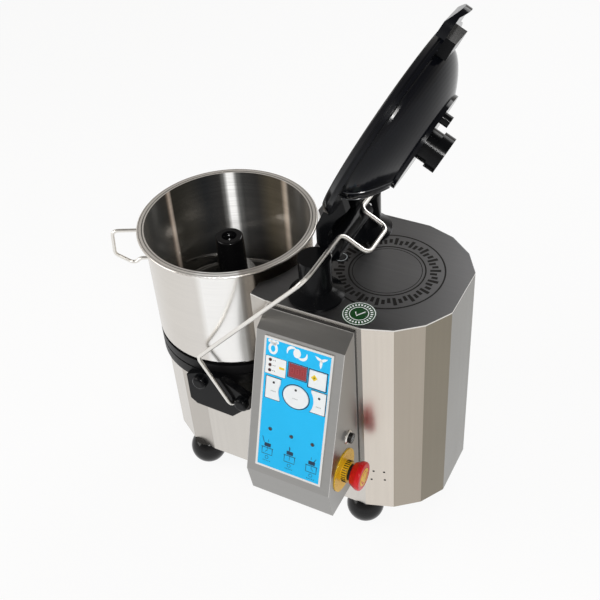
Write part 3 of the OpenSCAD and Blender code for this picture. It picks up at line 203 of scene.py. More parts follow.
finishes = {
    "stainless": steel("wallSteel", (0.64, 0.61, 0.57), rough=0.24, swing=0.03, grain=(220, 220, 4),
                       bump=0.015, contrast=0.04),
    "bowl_steel": steel("bowlSteel", (0.62, 0.59, 0.55), rough=0.2, swing=0.02, grain=(3, 3, 500),
                        bump=0.01, aniso=0.6, contrast=0.04),
    "wire_steel": steel("wireSteel", (0.80, 0.78, 0.74), rough=0.3, swing=0.04, grain=(400, 400, 400),
                        bump=0.03),
    "box_steel": steel("boxSteel", (0.335, 0.33, 0.32), rough=0.34, swing=0.03, grain=(4, 160, 160),
                       bump=0.015, contrast=0.04),
    "frame_steel": steel("frameSteel", (0.80, 0.79, 0.77), rough=0.28, grain=(300, 20, 20)),
    "fasteners": steel("fastenerSteel", (0.66, 0.66, 0.66), rough=0.2, grain=(500, 500, 500)),
    "shaft_steel": steel("shaftSteel", (0.70, 0.70, 0.71), rough=0.12, grain=(5, 5, 900), aniso=0.5),
    "bearing_steel": steel("bearingSteel", (0.66, 0.66, 0.68), rough=0.15, grain=(500, 500, 500)),
    "chassis_paint": plastic("chassisPaint", (0.10, 0.115, 0.135), rough=0.45, grain=(350, 350, 350),
                             bump=0.12),
    "cast_housing": plastic("castHousing", (0.13, 0.135, 0.14), rough=0.55, grain=(500, 500, 500),
                            bump=0.35),
    "motor_paint": plastic("motorPaint", (0.05, 0.065, 0.075), rough=0.5, grain=(420, 420, 420), bump=0.2),
    "motor_core": steel("motorCore", (0.30, 0.28, 0.26), rough=0.45, grain=(6, 6, 1400), bump=0.3,
                        contrast=0.2),
    "pulley_alloy": steel("pulleyAlloy", (0.55, 0.56, 0.58), rough=0.25, grain=(6, 6, 800), bump=0.08,
                          aniso=0.5),
    "blade_steel": steel("bladeSteel", (0.72, 0.72, 0.72), rough=0.16, grain=(120, 500, 120), bump=0.05),
    "seat_black": plastic("seatBlack", (0.006, 0.006, 0.0065), rough=0.4, bump=0.05, gleam=0.15),
    "hub_black": plastic("hubBlack", (0.004, 0.004, 0.0045), rough=0.2, bump=0.04, gleam=0.26),
    "lid_black": plastic("lidBlack", (0.0035, 0.004, 0.006), rough=0.14, swing=0.03, grain=(60, 60, 60),
                         bump=0.02, gleam=0.17),
    "fitting_black": plastic("fittingBlack", (0.003, 0.0033, 0.004), rough=0.18, swing=0.05,
                             grain=(800, 800, 800), bump=0.04, gleam=0.13),
    "foot_rubber": plastic("footRubber", (0.004, 0.004, 0.0045), rough=0.16, swing=0.04,
                           grain=(300, 300, 300), bump=0.03, gleam=0.3),
    "seal_rubber": plastic("sealRubber", (0.02, 0.02, 0.02), rough=0.5, bump=0.15),
    "belt_rubber": plastic("beltRubber", (0.015, 0.015, 0.015), rough=0.6, grain=(30, 30, 900), bump=0.5),
    "membrane_blue": plastic("membraneBlue", (0.022, 0.49, 0.90), rough=0.42, swing=0.04,
                             grain=(1200, 1200, 1200), bump=0.04, contrast=0.04, gleam=0.12),
    "display_red": plastic("displayRed", (0.27, 0.012, 0.018), rough=0.12, swing=0.03,
                           grain=(500, 500, 900), bump=0.03, coat=0.6),
    "key_white": plastic("keyWhite", (0.80, 0.84, 0.87), rough=0.4, swing=0.04, grain=(1200, 1200, 1200),
                         bump=0.05, contrast=0.03),
    "board_green": plastic("boardGreen", (0.012, 0.10, 0.035), rough=0.35, grain=(500, 500, 500),
                           contrast=0.3),
    "stop_yellow": plastic("stopYellow", (0.78, 0.47, 0.015), rough=0.3, swing=0.05, grain=(500, 500, 500),
                           bump=0.05, contrast=0.06),
    "stop_black": plastic("stopBlack", (0.007, 0.007, 0.007), rough=0.35, bump=0.06, gleam=0.3),
    "stop_red": plastic("stopRed", (0.62, 0.008, 0.012), rough=0.16, swing=0.04, grain=(300, 300, 300),
                        bump=0.03, coat=0.15, contrast=0.08, gleam=0.25),
}
print("finishes made:", len(finishes))


def paintBowlReflections(mat):
    # painted reflections of the studio: upright streaks painted inside the bowl as glow, broad painted
    # reflection bands tinted outside, and the inside painted darker as shade
    tree = mat.node_tree
    shader = tree.nodes["Principled BSDF"]
    coord = tree.nodes.new("ShaderNodeTexCoord")
    centre = tree.nodes.new("ShaderNodeVectorMath")
    centre.operation = "SUBTRACT"
    centre.inputs[1].default_value = (place["bowlX"] * mm, place["midY"] * mm, 0)
    flat = tree.nodes.new("ShaderNodeVectorMath")
    flat.operation = "MULTIPLY"
    flat.inputs[1].default_value = (1, 1, 0)
    reach = tree.nodes.new("ShaderNodeVectorMath")
    reach.operation = "LENGTH"
    turn = tree.nodes.new("ShaderNodeTexGradient")
    turn.gradient_type = "RADIAL"
    link(tree, coord.outputs["Object"], centre.inputs[0])
    link(tree, centre.outputs[0], flat.inputs[0])
    link(tree, flat.outputs[0], reach.inputs[0])
    link(tree, centre.outputs[0], turn.inputs["Vector"])
    inside = spread(tree, reach.outputs["Value"], 1.0, 0.0, *bowlInside["wall"])
    outer = rampOf(tree, turn.outputs["Color"], bowlReflectionBands)
    # painted shade darkens the inside, painted reflection bands tint the outside
    retint(tree, shader, mixed(tree, inside, outer, bowlInside["paintedShade"]))
    # the flat rim is a duller sheet edge
    rim = spread(tree, normalZ(tree), 1.0, bowlInside["rimMetal"], *bowlInside["rimSlope"])
    link(tree, combined(tree, "MAXIMUM", inside, rim), shader.inputs["Metallic"])
    # the painted reflection streaks glow a little, less towards the floor, with fine brushed rings
    split = tree.nodes.new("ShaderNodeSeparateXYZ")
    link(tree, coord.outputs["Object"], split.inputs[0])
    rise = spread(tree, split.outputs["Z"], 0.0, 1.0, *bowlInside["rise"])
    brushed = spread(tree, grainNoise(tree, bowlInside["grain"], 2.0), *bowlInside["brushed"])
    strength = combined(tree, "MULTIPLY", combined(tree, "MULTIPLY", rise, inside), brushed)
    link(tree, rampOf(tree, turn.outputs["Color"], bowlReflectionStreaks), shader.inputs["Emission Color"])
    link(tree, strength, shader.inputs["Emission Strength"])


# painted reflection tones by direction round the bowl, 0 and 1 at -X and rising anticlockwise
bowlInside = {"wall": (0.1142, 0.1148), "paintedShade": (0.26, 0.26, 0.26), "rise": (0.235, 0.33),
              "grain": (3, 3, 700), "brushed": (0.86, 1.14), "rimMetal": 0.35, "rimSlope": (0.6, 0.8)}
bowlReflectionBands = ((0.0, (1, 1, 1)), (0.20, (1.05, 1.05, 1.05)), (0.272, (1.12, 1.13, 1.15)),
             (0.285, (1.48, 1.54, 1.62)), (0.352, (1.48, 1.54, 1.62)), (0.357, (0.70, 0.69, 0.68)),
             (0.385, (0.64, 0.62, 0.60)), (0.42, (0.85, 0.85, 0.85)), (0.50, (1, 1, 1)), (1.0, (1, 1, 1)))
bowlReflectionStreaks = ((0.0, (0.018, 0.018, 0.017)), (0.10, (0.030, 0.029, 0.027)), (0.20, (0.018, 0.018, 0.017)),
               (0.30, (0.060, 0.057, 0.052)), (0.45, (0.020, 0.020, 0.019)), (0.62, (0.045, 0.042, 0.038)),
               (0.66, (0.030, 0.028, 0.025)), (0.698, (0.045, 0.040, 0.033)), (0.705, (0.38, 0.32, 0.26)),
               (0.712, (0.26, 0.21, 0.16)), (0.717, (0.060, 0.050, 0.036)), (0.745, (0.062, 0.052, 0.036)),
               (0.775, (0.024, 0.023, 0.022)), (0.806, (0.036, 0.036, 0.035)), (0.819, (0.13, 0.13, 0.125)),
               (0.825, (0.92, 0.91, 0.89)), (0.836, (0.92, 0.91, 0.89)), (0.842, (0.16, 0.157, 0.15)),
               (0.852, (0.028, 0.027, 0.026)), (0.885, (0.014, 0.015, 0.016)),
               (0.92, (0.022, 0.021, 0.018)), (0.962, (0.016, 0.015, 0.012)), (0.967, (0.42, 0.35, 0.29)),
               (0.971, (0.17, 0.13, 0.10)), (0.977, (0.020, 0.019, 0.017)), (1.0, (0.018, 0.018, 0.017)))
paintBowlReflections(finishes["bowl_steel"])


def paintFacetReflections(mat, tones):
    # painted reflection: each flat wall is tinted by the way it faces, standing for the part of the studio
    # it mirrors
    tree = mat.node_tree
    shader = tree.nodes["Principled BSDF"]
    geometry = tree.nodes.new("ShaderNodeNewGeometry")
    turn = tree.nodes.new("ShaderNodeTexGradient")
    turn.gradient_type = "RADIAL"
    link(tree, geometry.outputs["True Normal"], turn.inputs["Vector"])
    stops = [(degrees / 360, colour) for degrees, colour in tones]
    retint(tree, shader, rampOf(tree, turn.outputs["Color"], stops, "CONSTANT"))


# painted reflection tones by the direction a wall faces, from -X anticlockwise, in degrees
wallReflectionTones = ((0, (0.80, 0.79, 0.78)), (30, (0.95, 0.95, 0.95)), (64, (0.80, 0.79, 0.78)),
             (85, (0.98, 0.98, 0.98)), (97, (1.04, 1.00, 0.955)), (118, (0.62, 0.58, 0.52)),
             (139, (0.36, 0.335, 0.28)), (160, (0.25, 0.253, 0.24)), (185, (0.60, 0.59, 0.58)),
             (206, (0.9, 0.9, 0.9)), (250, (0.8, 0.8, 0.8)), (290, (0.95, 0.95, 0.95)),
             (330, (0.85, 0.85, 0.85)), (360, (0.80, 0.79, 0.78)))
paintFacetReflections(finishes["stainless"], wallReflectionTones)


def paintedLightSteel(name, top, side, grainTop):
    # brushed sheet with painted light: the flat top is painted dark as a painted reflection, its cut edges
    # are painted bright as painted highlights
    mat, tree, shader = newMat(name)
    shader.inputs["Metallic"].default_value = 1.0
    finishMat(tree, shader, tone(top, 0.92), tone(top, 1.08), 0.36, 0.04, grainTop, 0.03,
              bumpDepth["steel"])
    # steep faces take the bright side colour, a painted highlight
    edgeHighlightMask = spread(tree, normalZ(tree), 1.0, 0.0, 0.5, 0.8)
    plain = shader.inputs["Base Color"].links[0].from_socket
    link(tree, mixed(tree, edgeHighlightMask, plain, side), shader.inputs["Base Color"])
    return mat


# painted light on this slot: a dark painted reflection on top, bright painted highlights on the edges
finishes["dark_top"] = paintedLightSteel("topSteelPaintedLight", (0.15, 0.15, 0.152), (0.75, 0.73, 0.70), (5, 300, 300))

for part in frame["record"]["subparts"]:
    mesh = nodes[part["node"]].data
    mesh.materials.clear()
    mesh.materials.append(finishes[part["material_slot"]])


# softened edges on the CAD nodes, widths in mm and angles in degrees

softening = {"cadAngle": 35, "cadSegments": 2, "pieceAngle": 30, "pieceSegments": 3, "sharp": 38,
             "merge": 1e-5}
edgeRounds = {
    "tower_top_plate": 0.5, "base_top_plate": 0.5, "control_box": 0.7, "panel_frame": 0.35,
    "lid_hinge_arms": 1.0, "lid_catch": 1.5, "bail_brackets": 1.4, "hinge_posts": 0.8,
    "stopper": 1.2, "port_plug": 0.8, "lid_crown": 0.7, "chassis_plate": 0.8, "stop_disc": 0.3,
    "round_switch": 0.8, "key_timer": 0.2, "key_left": 0.2, "key_right": 0.2,
    "knife_hub": 0.5, "lower_blade": 0.3, "upper_blade": 0.3, "seat": 0.5, "box_gasket": 0.4,
}
for name, width in edgeRounds.items():
    soften = nodes[name].modifiers.new("soften", "BEVEL")
    soften.width = width * mm
    soften.segments = softening["cadSegments"]
    soften.limit_method = "ANGLE"
    soften.angle_limit = math.radians(softening["cadAngle"])
    soften.harden_normals = False
    soften.use_clamp_overlap = True
print("edges softened:", len(edgeRounds))


# mesh helpers, all in mm in a local frame that matrix puts in place


def mapped(origin, xAxis, yAxis, zAxis):
    matrix = Matrix.Identity(4)
    for k, axis in enumerate((xAxis, yAxis, zAxis)):
        for row in range(3):
            matrix[row][k] = axis[row]
    matrix.translation = Vector(origin)
    return matrix


def build(name, make, matrix, mat, body, smooth=True, bevel=0.0):
    bm = bmesh.new()
    make(bm)
    bmesh.ops.remove_doubles(bm, verts=bm.verts, dist=softening["merge"])
    bmesh.ops.recalc_face_normals(bm, faces=bm.faces)
    mesh = bpy.data.meshes.new(name)
    bm.to_mesh(mesh)
    bm.free()
    mesh.transform(Matrix.Scale(mm, 4) @ matrix)
    if matrix.to_3x3().determinant() < 0:
        mesh.flip_normals()
    obj = bpy.data.objects.new(name, mesh)
    bpy.context.scene.collection.objects.link(obj)
    mesh.materials.append(mat)
    if bevel:
        edge = obj.modifiers.new("soften", "BEVEL")
        edge.width = bevel * mm
        edge.segments = softening["pieceSegments"]
        edge.limit_method = "ANGLE"
        edge.angle_limit = math.radians(softening["pieceAngle"])
    if smooth:
        mesh.shade_smooth()
        mesh.set_sharp_from_angle(angle=math.radians(softening["sharp"]))
    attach(obj, body)
    return obj


def extrudePlan(bm, points, low, high):
    bottom = [bm.verts.new((x, y, low)) for x, y in points]
    top = [bm.verts.new((x, y, high)) for x, y in points]
    n = len(points)
    bm.faces.new(top)
    bm.faces.new(bottom[::-1])
    for k in range(n):
        bm.faces.new((bottom[k], bottom[(k + 1) % n], top[(k + 1) % n], top[k]))


def band(bm, outer, inner, low, high):
    # a closed outline with a hole, both with the same number of points
    n = len(outer)
    rings = [[bm.verts.new((x, y, z)) for x, y in pts] for pts, z in
             ((outer, low), (outer, high), (inner, high), (inner, low))]
    for a in range(4):
        for k in range(n):
            m = (k + 1) % n
            bm.faces.new((rings[a][k], rings[a][m], rings[(a + 1) % 4][m], rings[(a + 1) % 4][k]))


def circlePoints(cx, cy, r, n=40, ry=None, start=0.0, turn=360.0):
    count = n if turn >= 360 else n + 1
    return [(cx + r * math.cos(math.radians(start + turn * k / n)),
             cy + (ry or r) * math.sin(math.radians(start + turn * k / n))) for k in range(count)]


def roundRect(x0, y0, x1, y1, r):
    n = 6    # steps in each corner
    points = []
    for cx, cy, a in ((x1 - r, y1 - r, 0), (x0 + r, y1 - r, 90), (x0 + r, y0 + r, 180),
                      (x1 - r, y0 + r, 270)):
        for k in range(n + 1):
            t = math.radians(a + 90 * k / n)
            points.append((cx + r * math.cos(t), cy + r * math.sin(t)))
    return points


def lathe(bm, profile, n=64):
    # profile is (radius, height) pairs; a radius of 0 closes the end
    rings = []
    for r, z in profile:
        if r < 1e-6:
            rings.append([bm.verts.new((0, 0, z))])
        else:
            turns = [2 * math.pi * k / n for k in range(n)]
            rings.append([bm.verts.new((r * math.cos(a), r * math.sin(a), z)) for a in turns])
    for a, b in zip(rings, rings[1:]):
        for k in range(n):
            m = (k + 1) % n
            if len(a) == 1 and len(b) == 1:
                continue
            if len(a) == 1:
                bm.faces.new((a[0], b[m], b[k]))
            elif len(b) == 1:
                bm.faces.new((a[k], a[m], b[0]))
            else:
                bm.faces.new((a[k], a[m], b[m], b[k]))


def strip(bm, points, width, low, high):
    # a flat line of constant width along points
    n = len(points)
    left, right = [], []
    for k in range(n):
        a = Vector(points[max(0, k - 1)])
        b = Vector(points[min(n - 1, k + 1)])
        d = (b - a).normalized() if (b - a).length > 0 else Vector((1, 0))
        off = Vector((-d.y, d.x)) * width / 2
        p = Vector(points[k])
        left.append(tuple(p + off))
        right.append(tuple(p - off))
    for k in range(n - 1):
        extrudePlan(bm, [left[k], right[k], right[k + 1], left[k + 1]], low, high)


def tubeAlong(bm, points, r, sides=10):
    rings = []
    n = len(points)
    side = None
    for k in range(n):
        a, b = Vector(points[max(0, k - 1)]), Vector(points[min(n - 1, k + 1)])
        d = (b - a).normalized()
        side = d.orthogonal().normalized() if side is None else (side - d * side.dot(d)).normalized()
        up = d.cross(side)
        turns = [2 * math.pi * s / sides for s in range(sides)]
        rings.append([bm.verts.new(Vector(points[k]) + r * (math.cos(t) * side + math.sin(t) * up))
                      for t in turns])
    for a, b in zip(rings, rings[1:]):
        for s in range(sides):
            m = (s + 1) % sides
            bm.faces.new((a[s], a[m], b[m], b[s]))
    bm.faces.new(rings[0][::-1])
    bm.faces.new(rings[-1])


# printed panel

tilt = math.radians(place["panelTilt"])
panelFrame = mapped(place["panelCorner"], (1, 0, 0), (0, math.cos(tilt), math.sin(tilt)),
                    (0, -math.sin(tilt), math.cos(tilt)))


def ink(name, colour, contrast=0.12):
    return plastic(name, colour, rough=0.4, grain=(1500, 1500, 1500), bump=0.04, contrast=contrast)


printWhite = ink("printWhite", (0.82, 0.85, 0.87), contrast=0.04)
printBlack = ink("printBlack", (0.012, 0.013, 0.016))
printBlue = ink("printBlue", (0.005, 0.030, 0.075))
printGrey = ink("printGrey", (0.35, 0.38, 0.40))
printYellow = ink("printYellow", (0.78, 0.58, 0.02))
ledRed = plastic("ledRed", (0.05, 0.006, 0.006), rough=0.15, grain=(800, 800, 800), bump=0.02, coat=0.6)
digitRed = glow("digitRed", (0.36, 0.018, 0.026), 0.03)

# places are from the panel's top left corner, x to the right and y up
panel = {"face": 1.6, "keyFace": 2.1, "ink": 0.07, "overInk": 0.05, "sink": 0.02, "ledRise": 0.5}
faceLow, faceTop = panel["face"] - panel["sink"], panel["face"] + panel["ink"]
keyLow, keyTop = panel["keyFace"] - panel["sink"], panel["keyFace"] + panel["ink"]
onInk = faceTop + panel["overInk"]

icons = {
    "y": -17,
    "hook": {"x": 26, "outer": (6.6, 8.4), "outerY": -3, "inner": (3.2, 4.6), "innerY": -3.4,
             "head": (4.4, 3.6), "headY": 5.2, "ear": (5.2, 6.4), "earR": 2.4},
    "blade": {"x": 59.6, "hub": (5.2, 6.4), "wing": (6.2, 1), "wingR": 7.4, "wingW": 3.4,
              "starts": (60, 240), "sweep": 140, "tipW": 0.5, "taper": 0.12, "steps": 22},
    "whisk": {"x": 93, "arms": ((152, 10.0), (28, 10.0), (270, 11.5)), "side": 1.9, "waist": 0.55,
              "waistSide": 0.9},
}
ledBox = {"box": (17, -57, 46, -32), "corner": 1.2, "edge": 0.5, "edgeCorner": 1.6,
          "x": 23.5, "ys": (-36.5, -44.0, -51.5), "r": 2.3,
          "dash": (3.6, 5.6), "dashW": 0.5, "tickX": 7, "tickHalf": 1, "tickW": 0.6,
          "bar": (36.5, -46.2, 43.8, -43.2), "barCorner": 0.4}
statusLeds = {"at": ((31, -137), (62, -138), (92.5, -139)), "r": 1.9, "ringGap": 0.2, "ringEdge": 0.9}
keyMarks = {"dots": ((31, -67.5), (62.5, -68.5), (95.5, -69.5)), "dotR": 1.7,
            "dashes": 4, "dashX": -3.4, "dashPitch": 1.9, "dashL": 1.2, "dashY": -12.6, "dashW": 1.3}
diamond = {"at": (86, -43), "r": 4.6, "plusHalf": 1.6, "plusW": 0.8, "plusRise": 0.06}
pictogram = {
    "at": ((29, -168), (62, -169), (94, -172)), "line": 1.0, "thin": 0.6,
    "potHalf": 7.5, "potTop": 1, "potDeep": 9.0, "brim": 1.2,
    "lid": (-4.6, 2.6, 4.8, 8.2), "lidCorner": 1.0,
    "arm": {"foot": (-5, 8), "footStep": 4, "tip": (-8, 17), "tipStep": (7, -2), "w": 0.9},
    "stem": {"x": 1, "low": 10, "high": 14}, "tool": {"top": 2, "bend": -3, "tip": (-3, -6), "tipStep": 3},
    "ringY": -13.8, "ringR": (2.6, 2.0),
    "dashes": 5, "dashX": -5.4, "dashPitch": 2.4, "dashL": 1.2, "dashY": -19, "dashW": 1.1,
}
digit = {"count": 3, "x": 54.8, "pitch": 7.2, "y": -42.2, "halfW": 1.8, "halfH": 3.588, "line": 0.7}
keyLines = {"w": 1.1, "corner": 0.8, "outerCorner": 1.2,
            "boxes": ((78.4, -57.6, 103.1, -32.4), (49.6, -52.4, 75.4, -32.1)),
            "middle": (63.3, -78.3), "middleInner": (18.4, 16.6), "middleOuter": (19.6, 17.8),
            "sides": ((41.2, 19.4), (83.4, 105.1)), "sideTop": -60.4, "sideBottom": -92.6}


def crescent(cx, cy, r, thick, start, turn):
    blade = icons["blade"]
    n = blade["steps"]
    outer, inner = [], []
    for k in range(n + 1):
        s = k / n
        a = math.radians(start + turn * s)
        taper = math.sin(math.pi * min(1.0, blade["taper"] + s * (1 - blade["taper"])))
        half = (thick * taper + blade["tipW"]) / 2
        outer.append((cx + (r + half) * math.cos(a), cy + (r + half) * math.sin(a)))
        inner.append((cx + (r - half) * math.cos(a), cy + (r - half) * math.sin(a)))
    return outer + inner[::-1]


def hookIcon(bm):
    # a ring-shaped hook under a round head
    hook, y = icons["hook"], icons["y"]
    x = hook["x"]
    (rx, ry), (innerRx, innerRy) = hook["outer"], hook["inner"]
    band(bm, circlePoints(x, y + hook["outerY"], rx, ry=ry),
         circlePoints(x, y + hook["innerY"], innerRx, ry=innerRy), faceLow, faceTop)
    earX, earY = hook["ear"]
    for side in (-1, 1):
        extrudePlan(bm, circlePoints(x + side * earX, y + earY, hook["earR"], 20), faceLow, faceTop)
    headRx, headRy = hook["head"]
    extrudePlan(bm, circlePoints(x, y + hook["headY"], headRx, 28, ry=headRy), faceLow, faceTop)


def bladeIcon(bm):
    # a two-winged blade
    blade, y = icons["blade"], icons["y"]
    x = blade["x"]
    hubRx, hubRy = blade["hub"]
    wingX, wingY = blade["wing"]
    extrudePlan(bm, circlePoints(x, y, hubRx, 32, ry=hubRy), faceLow, faceTop)
    for side, start in zip((-1, 1), blade["starts"]):
        wing = crescent(x + side * wingX, y + side * wingY, blade["wingR"], blade["wingW"], start,
                        blade["sweep"])
        extrudePlan(bm, wing, faceLow, faceTop)


def whiskIcon(bm):
    # a three-armed whisk
    whisk, y = icons["whisk"], icons["y"]
    x, side = whisk["x"], whisk["side"]
    waistSide = side * whisk["waistSide"]
    for degrees, tip in whisk["arms"]:
        c, s = math.cos(math.radians(degrees)), math.sin(math.radians(degrees))
        waist = tip * whisk["waist"]
        extrudePlan(bm, [(x - s * side, y + c * side),
                         (x + c * waist - s * waistSide, y + s * waist + c * waistSide),
                         (x + c * tip, y + s * tip),
                         (x + c * waist + s * waistSide, y + s * waist - c * waistSide),
                         (x + s * side, y - c * side)], faceLow, faceTop)


def whitePrints(bm):
    hookIcon(bm)
    bladeIcon(bm)
    whiskIcon(bm)
    extrudePlan(bm, roundRect(*ledBox["box"], ledBox["corner"]), faceLow, faceTop)


def redPrints(bm):
    top = faceTop + panel["ledRise"]
    for y in ledBox["ys"]:
        extrudePlan(bm, circlePoints(ledBox["x"], y, ledBox["r"], 24), faceTop, top)
    for x, y in statusLeds["at"]:
        extrudePlan(bm, circlePoints(x, y, statusLeds["r"], 24), faceLow, top)


def blackPrints(bm):
    x0, y0, x1, y1 = ledBox["box"]
    edge = ledBox["edge"]
    band(bm, roundRect(x0 - edge, y0 - edge, x1 + edge, y1 + edge, ledBox["edgeCorner"]),
         roundRect(x0, y0, x1, y1, ledBox["corner"]), faceLow, faceTop)
    for x, y in keyMarks["dots"]:
        extrudePlan(bm, circlePoints(x, y, keyMarks["dotR"], 20), keyLow, keyTop)
    r = statusLeds["r"]
    for x, y in statusLeds["at"]:
        band(bm, circlePoints(x, y, r + statusLeds["ringEdge"], 24),
             circlePoints(x, y, r + statusLeds["ringGap"], 24), faceLow, faceTop)
    x = ledBox["x"]
    dashFrom, dashTo = ledBox["dash"]
    half = ledBox["tickHalf"]
    for y in ledBox["ys"]:
        strip(bm, [(x + dashFrom, y), (x + dashTo, y)], ledBox["dashW"], faceTop, onInk)
        strip(bm, [(x + ledBox["tickX"], y - half), (x + ledBox["tickX"], y + half)], ledBox["tickW"],
              faceTop, onInk)
    x, y = diamond["at"]
    arm, top = diamond["plusHalf"], keyTop + diamond["plusRise"]
    strip(bm, [(x - arm, y), (x + arm, y)], diamond["plusW"], keyTop, top)
    strip(bm, [(x, y - arm), (x, y + arm)], diamond["plusW"], keyTop, top)


def dashRow(bm, x, y, row, low, high):
    # short dashes stand where a caption would be
    for k in range(row["dashes"]):
        left = x + row["dashX"] + row["dashPitch"] * k
        dash = [(left, y + row["dashY"]), (left + row["dashL"], y + row["dashY"])]
        strip(bm, dash, row["dashW"], low, high)


def greyPrints(bm):
    for x, y in keyMarks["dots"]:
        dashRow(bm, x, y, keyMarks, keyLow, keyTop)


def bluePrints(bm):
    # three small pictures of the machine, its arm further over in each
    half, deep, top = pictogram["potHalf"], pictogram["potDeep"], pictogram["potTop"]
    line, thin, brim = pictogram["line"], pictogram["thin"], pictogram["brim"]
    arm, stem, tool = pictogram["arm"], pictogram["stem"], pictogram["tool"]
    ringOuter, ringInner = pictogram["ringR"]
    for k, (x, y) in enumerate(pictogram["at"]):
        strip(bm, [(x - half, y + top), (x - half, y - deep), (x + half, y - deep), (x + half, y + top)],
              line, faceLow, faceTop)
        strip(bm, [(x - half - brim, y + top), (x + half + brim, y + top)], line, faceLow, faceTop)
        x0, y0, x1, y1 = pictogram["lid"]
        extrudePlan(bm, roundRect(x + x0, y + y0, x + x1, y + y1, pictogram["lidCorner"]), faceLow, faceTop)
        (footX, footY), (tipX, tipY), (stepX, stepY) = arm["foot"], arm["tip"], arm["tipStep"]
        strip(bm, [(x + footX + arm["footStep"] * k, y + footY),
                   (x + tipX + stepX * k, y + tipY + stepY * k)], arm["w"], faceLow, faceTop)
        stemX = x + stem["x"] - k
        strip(bm, [(stemX, y + stem["low"]), (stemX, y + stem["high"])], thin, faceLow, faceTop)
        toolX, toolY = tool["tip"]
        strip(bm, [(x, y + tool["top"]), (x, y + tool["bend"]),
                   (x + toolX + tool["tipStep"] * k, y + toolY)], thin, faceLow, faceTop)
        ringY = y + pictogram["ringY"]
        band(bm, circlePoints(x, ringY, ringOuter, 20), circlePoints(x, ringY, ringInner, 20), faceLow,
             faceTop)
        dashRow(bm, x, y, pictogram, faceLow, faceTop)


def yellowPrints(bm):
    x, y = diamond["at"]
    r = diamond["r"]
    extrudePlan(bm, [(x - r, y), (x, y - r), (x + r, y), (x, y + r)], keyLow, keyTop)
    extrudePlan(bm, roundRect(*ledBox["bar"], ledBox["barCorner"]), faceTop, onInk)


def digits(bm):
    w, h = digit["halfW"], digit["halfH"]
    corners = ((-w, h), (w, h), (w, 0), (w, -h), (-w, -h), (-w, 0), (-w, h))
    for k in range(digit["count"]):
        x, y = digit["x"] + digit["pitch"] * k, digit["y"]
        for a, b in zip(corners, corners[1:]):
            strip(bm, [(x + a[0], y + a[1]), (x + b[0], y + b[1])], digit["line"], faceLow, faceTop)


def keyOutlines(bm):
    # thin dark lines printed round the keys and the display
    w = keyLines["w"]
    for x0, y0, x1, y1 in keyLines["boxes"]:
        band(bm, roundRect(x0 - w, y0 - w, x1 + w, y1 + w, keyLines["outerCorner"]),
             roundRect(x0, y0, x1, y1, keyLines["corner"]), faceLow, faceTop)
    (outerRx, outerRy), (innerRx, innerRy) = keyLines["middleOuter"], keyLines["middleInner"]
    band(bm, circlePoints(*keyLines["middle"], outerRx, 72, ry=outerRy),
         circlePoints(*keyLines["middle"], innerRx, 72, ry=innerRy), faceLow, faceTop)
    top, bottom = keyLines["sideTop"], keyLines["sideBottom"]
    for inner, outer in keyLines["sides"]:
        strip(bm, [(inner, top), (outer, top), (outer, bottom), (inner, bottom)], w, faceLow, faceTop)


prints = (
    ("panel_icons", whitePrints, printWhite, "key_white", 0),
    ("panel_leds", redPrints, ledRed, "display_red", 0.25),
    ("panel_outlines", blackPrints, printBlack, "stop_black", 0),
    ("panel_key_marks", greyPrints, printGrey, None, 0),
    ("panel_pictograms", bluePrints, printBlue, None, 0),
    ("panel_yellow_marks", yellowPrints, printYellow, "stop_yellow", 0),
    ("display_digits", digits, digitRed, "display_red", 0),
    ("panel_key_outlines", keyOutlines, printBlack, "stop_black", 0),
)
for name, make, mat, slotName, bevel in prints:
    build(name, make, panelFrame, mat, "body", smooth=bevel > 0, bevel=bevel)
print("panel printed")


# painted highlights on the folded edges of the box

edgeGlint = {"r": 0.42, "inset": 0.5, "shortest": 60, "turn": 12}


def edgeHighlightLines(bm):
    # a thin bright tube on each long outer edge of the CAD box, a painted highlight
    box = bmesh.new()
    box.from_mesh(nodes["control_box"].data)
    bmesh.ops.remove_doubles(box, verts=box.verts, dist=1e-6)
    bmesh.ops.dissolve_limit(box, angle_limit=math.radians(1), verts=box.verts, edges=box.edges)
    for edge in list(box.edges):
        if len(edge.link_faces) != 2 or edge.calc_length() < edgeGlint["shortest"] * mm:
            continue
        if edge.calc_face_angle_signed() > math.radians(edgeGlint["turn"]):
            out = (edge.link_faces[0].normal + edge.link_faces[1].normal).normalized()
            tubeAlong(bm, [v.co / mm - out * edgeGlint["inset"] for v in edge.verts], edgeGlint["r"], 8)
    box.free()


build("box_edge_highlights", edgeHighlightLines, Matrix.Identity(4), finishes["frame_steel"], "body")
print("box folds lined")


# emergency stop and round switch


def sideFrame(at):
    # local z points out of the box's right side
    return mapped(at, (0, 0, -1), (0, 1, 0), (1, 0, 0))


stopHead = {"front": 30.0, "insertR": 12.5, "insertT": 0.5, "insertRound": 0.5, "insertEdge": 0.25,
            "insertCrown": 0.05, "sink": 0.2, "arrowR": 8.4, "arrowHalf": 0.9, "arrowHead": 2.4,
            "starts": (20, 140, 260), "sweep": 62, "tip": 84, "arrowSink": 0.1, "arrowRise": 0.05}
stopCollar = {"ribs": 28, "innerR": 14.3, "innerHalf": 0.6, "outerR": 15.1, "outerHalf": 0.45, "low": 3.0,
              "high": 9.4}
switchRing = ((7.5, -0.2), (9.6, -0.2), (9.8, 0.6), (9.3, 1.6), (8.2, 2.2), (7.5, 2.0), (7.5, -0.2))
switchBars = {"xs": (-2.2, 2.2), "halfW": 0.7, "halfL": 4.2, "corner": 0.5, "low": 6.95, "high": 7.2}


def stopInsert(bm):
    low, top = stopHead["front"] - stopHead["sink"], stopHead["front"] + stopHead["insertT"]
    r = stopHead["insertR"]
    lathe(bm, [(0, low), (r, low), (r, top - stopHead["insertEdge"]),
               (r - stopHead["insertRound"], top - stopHead["insertCrown"]), (0, top)], 56)


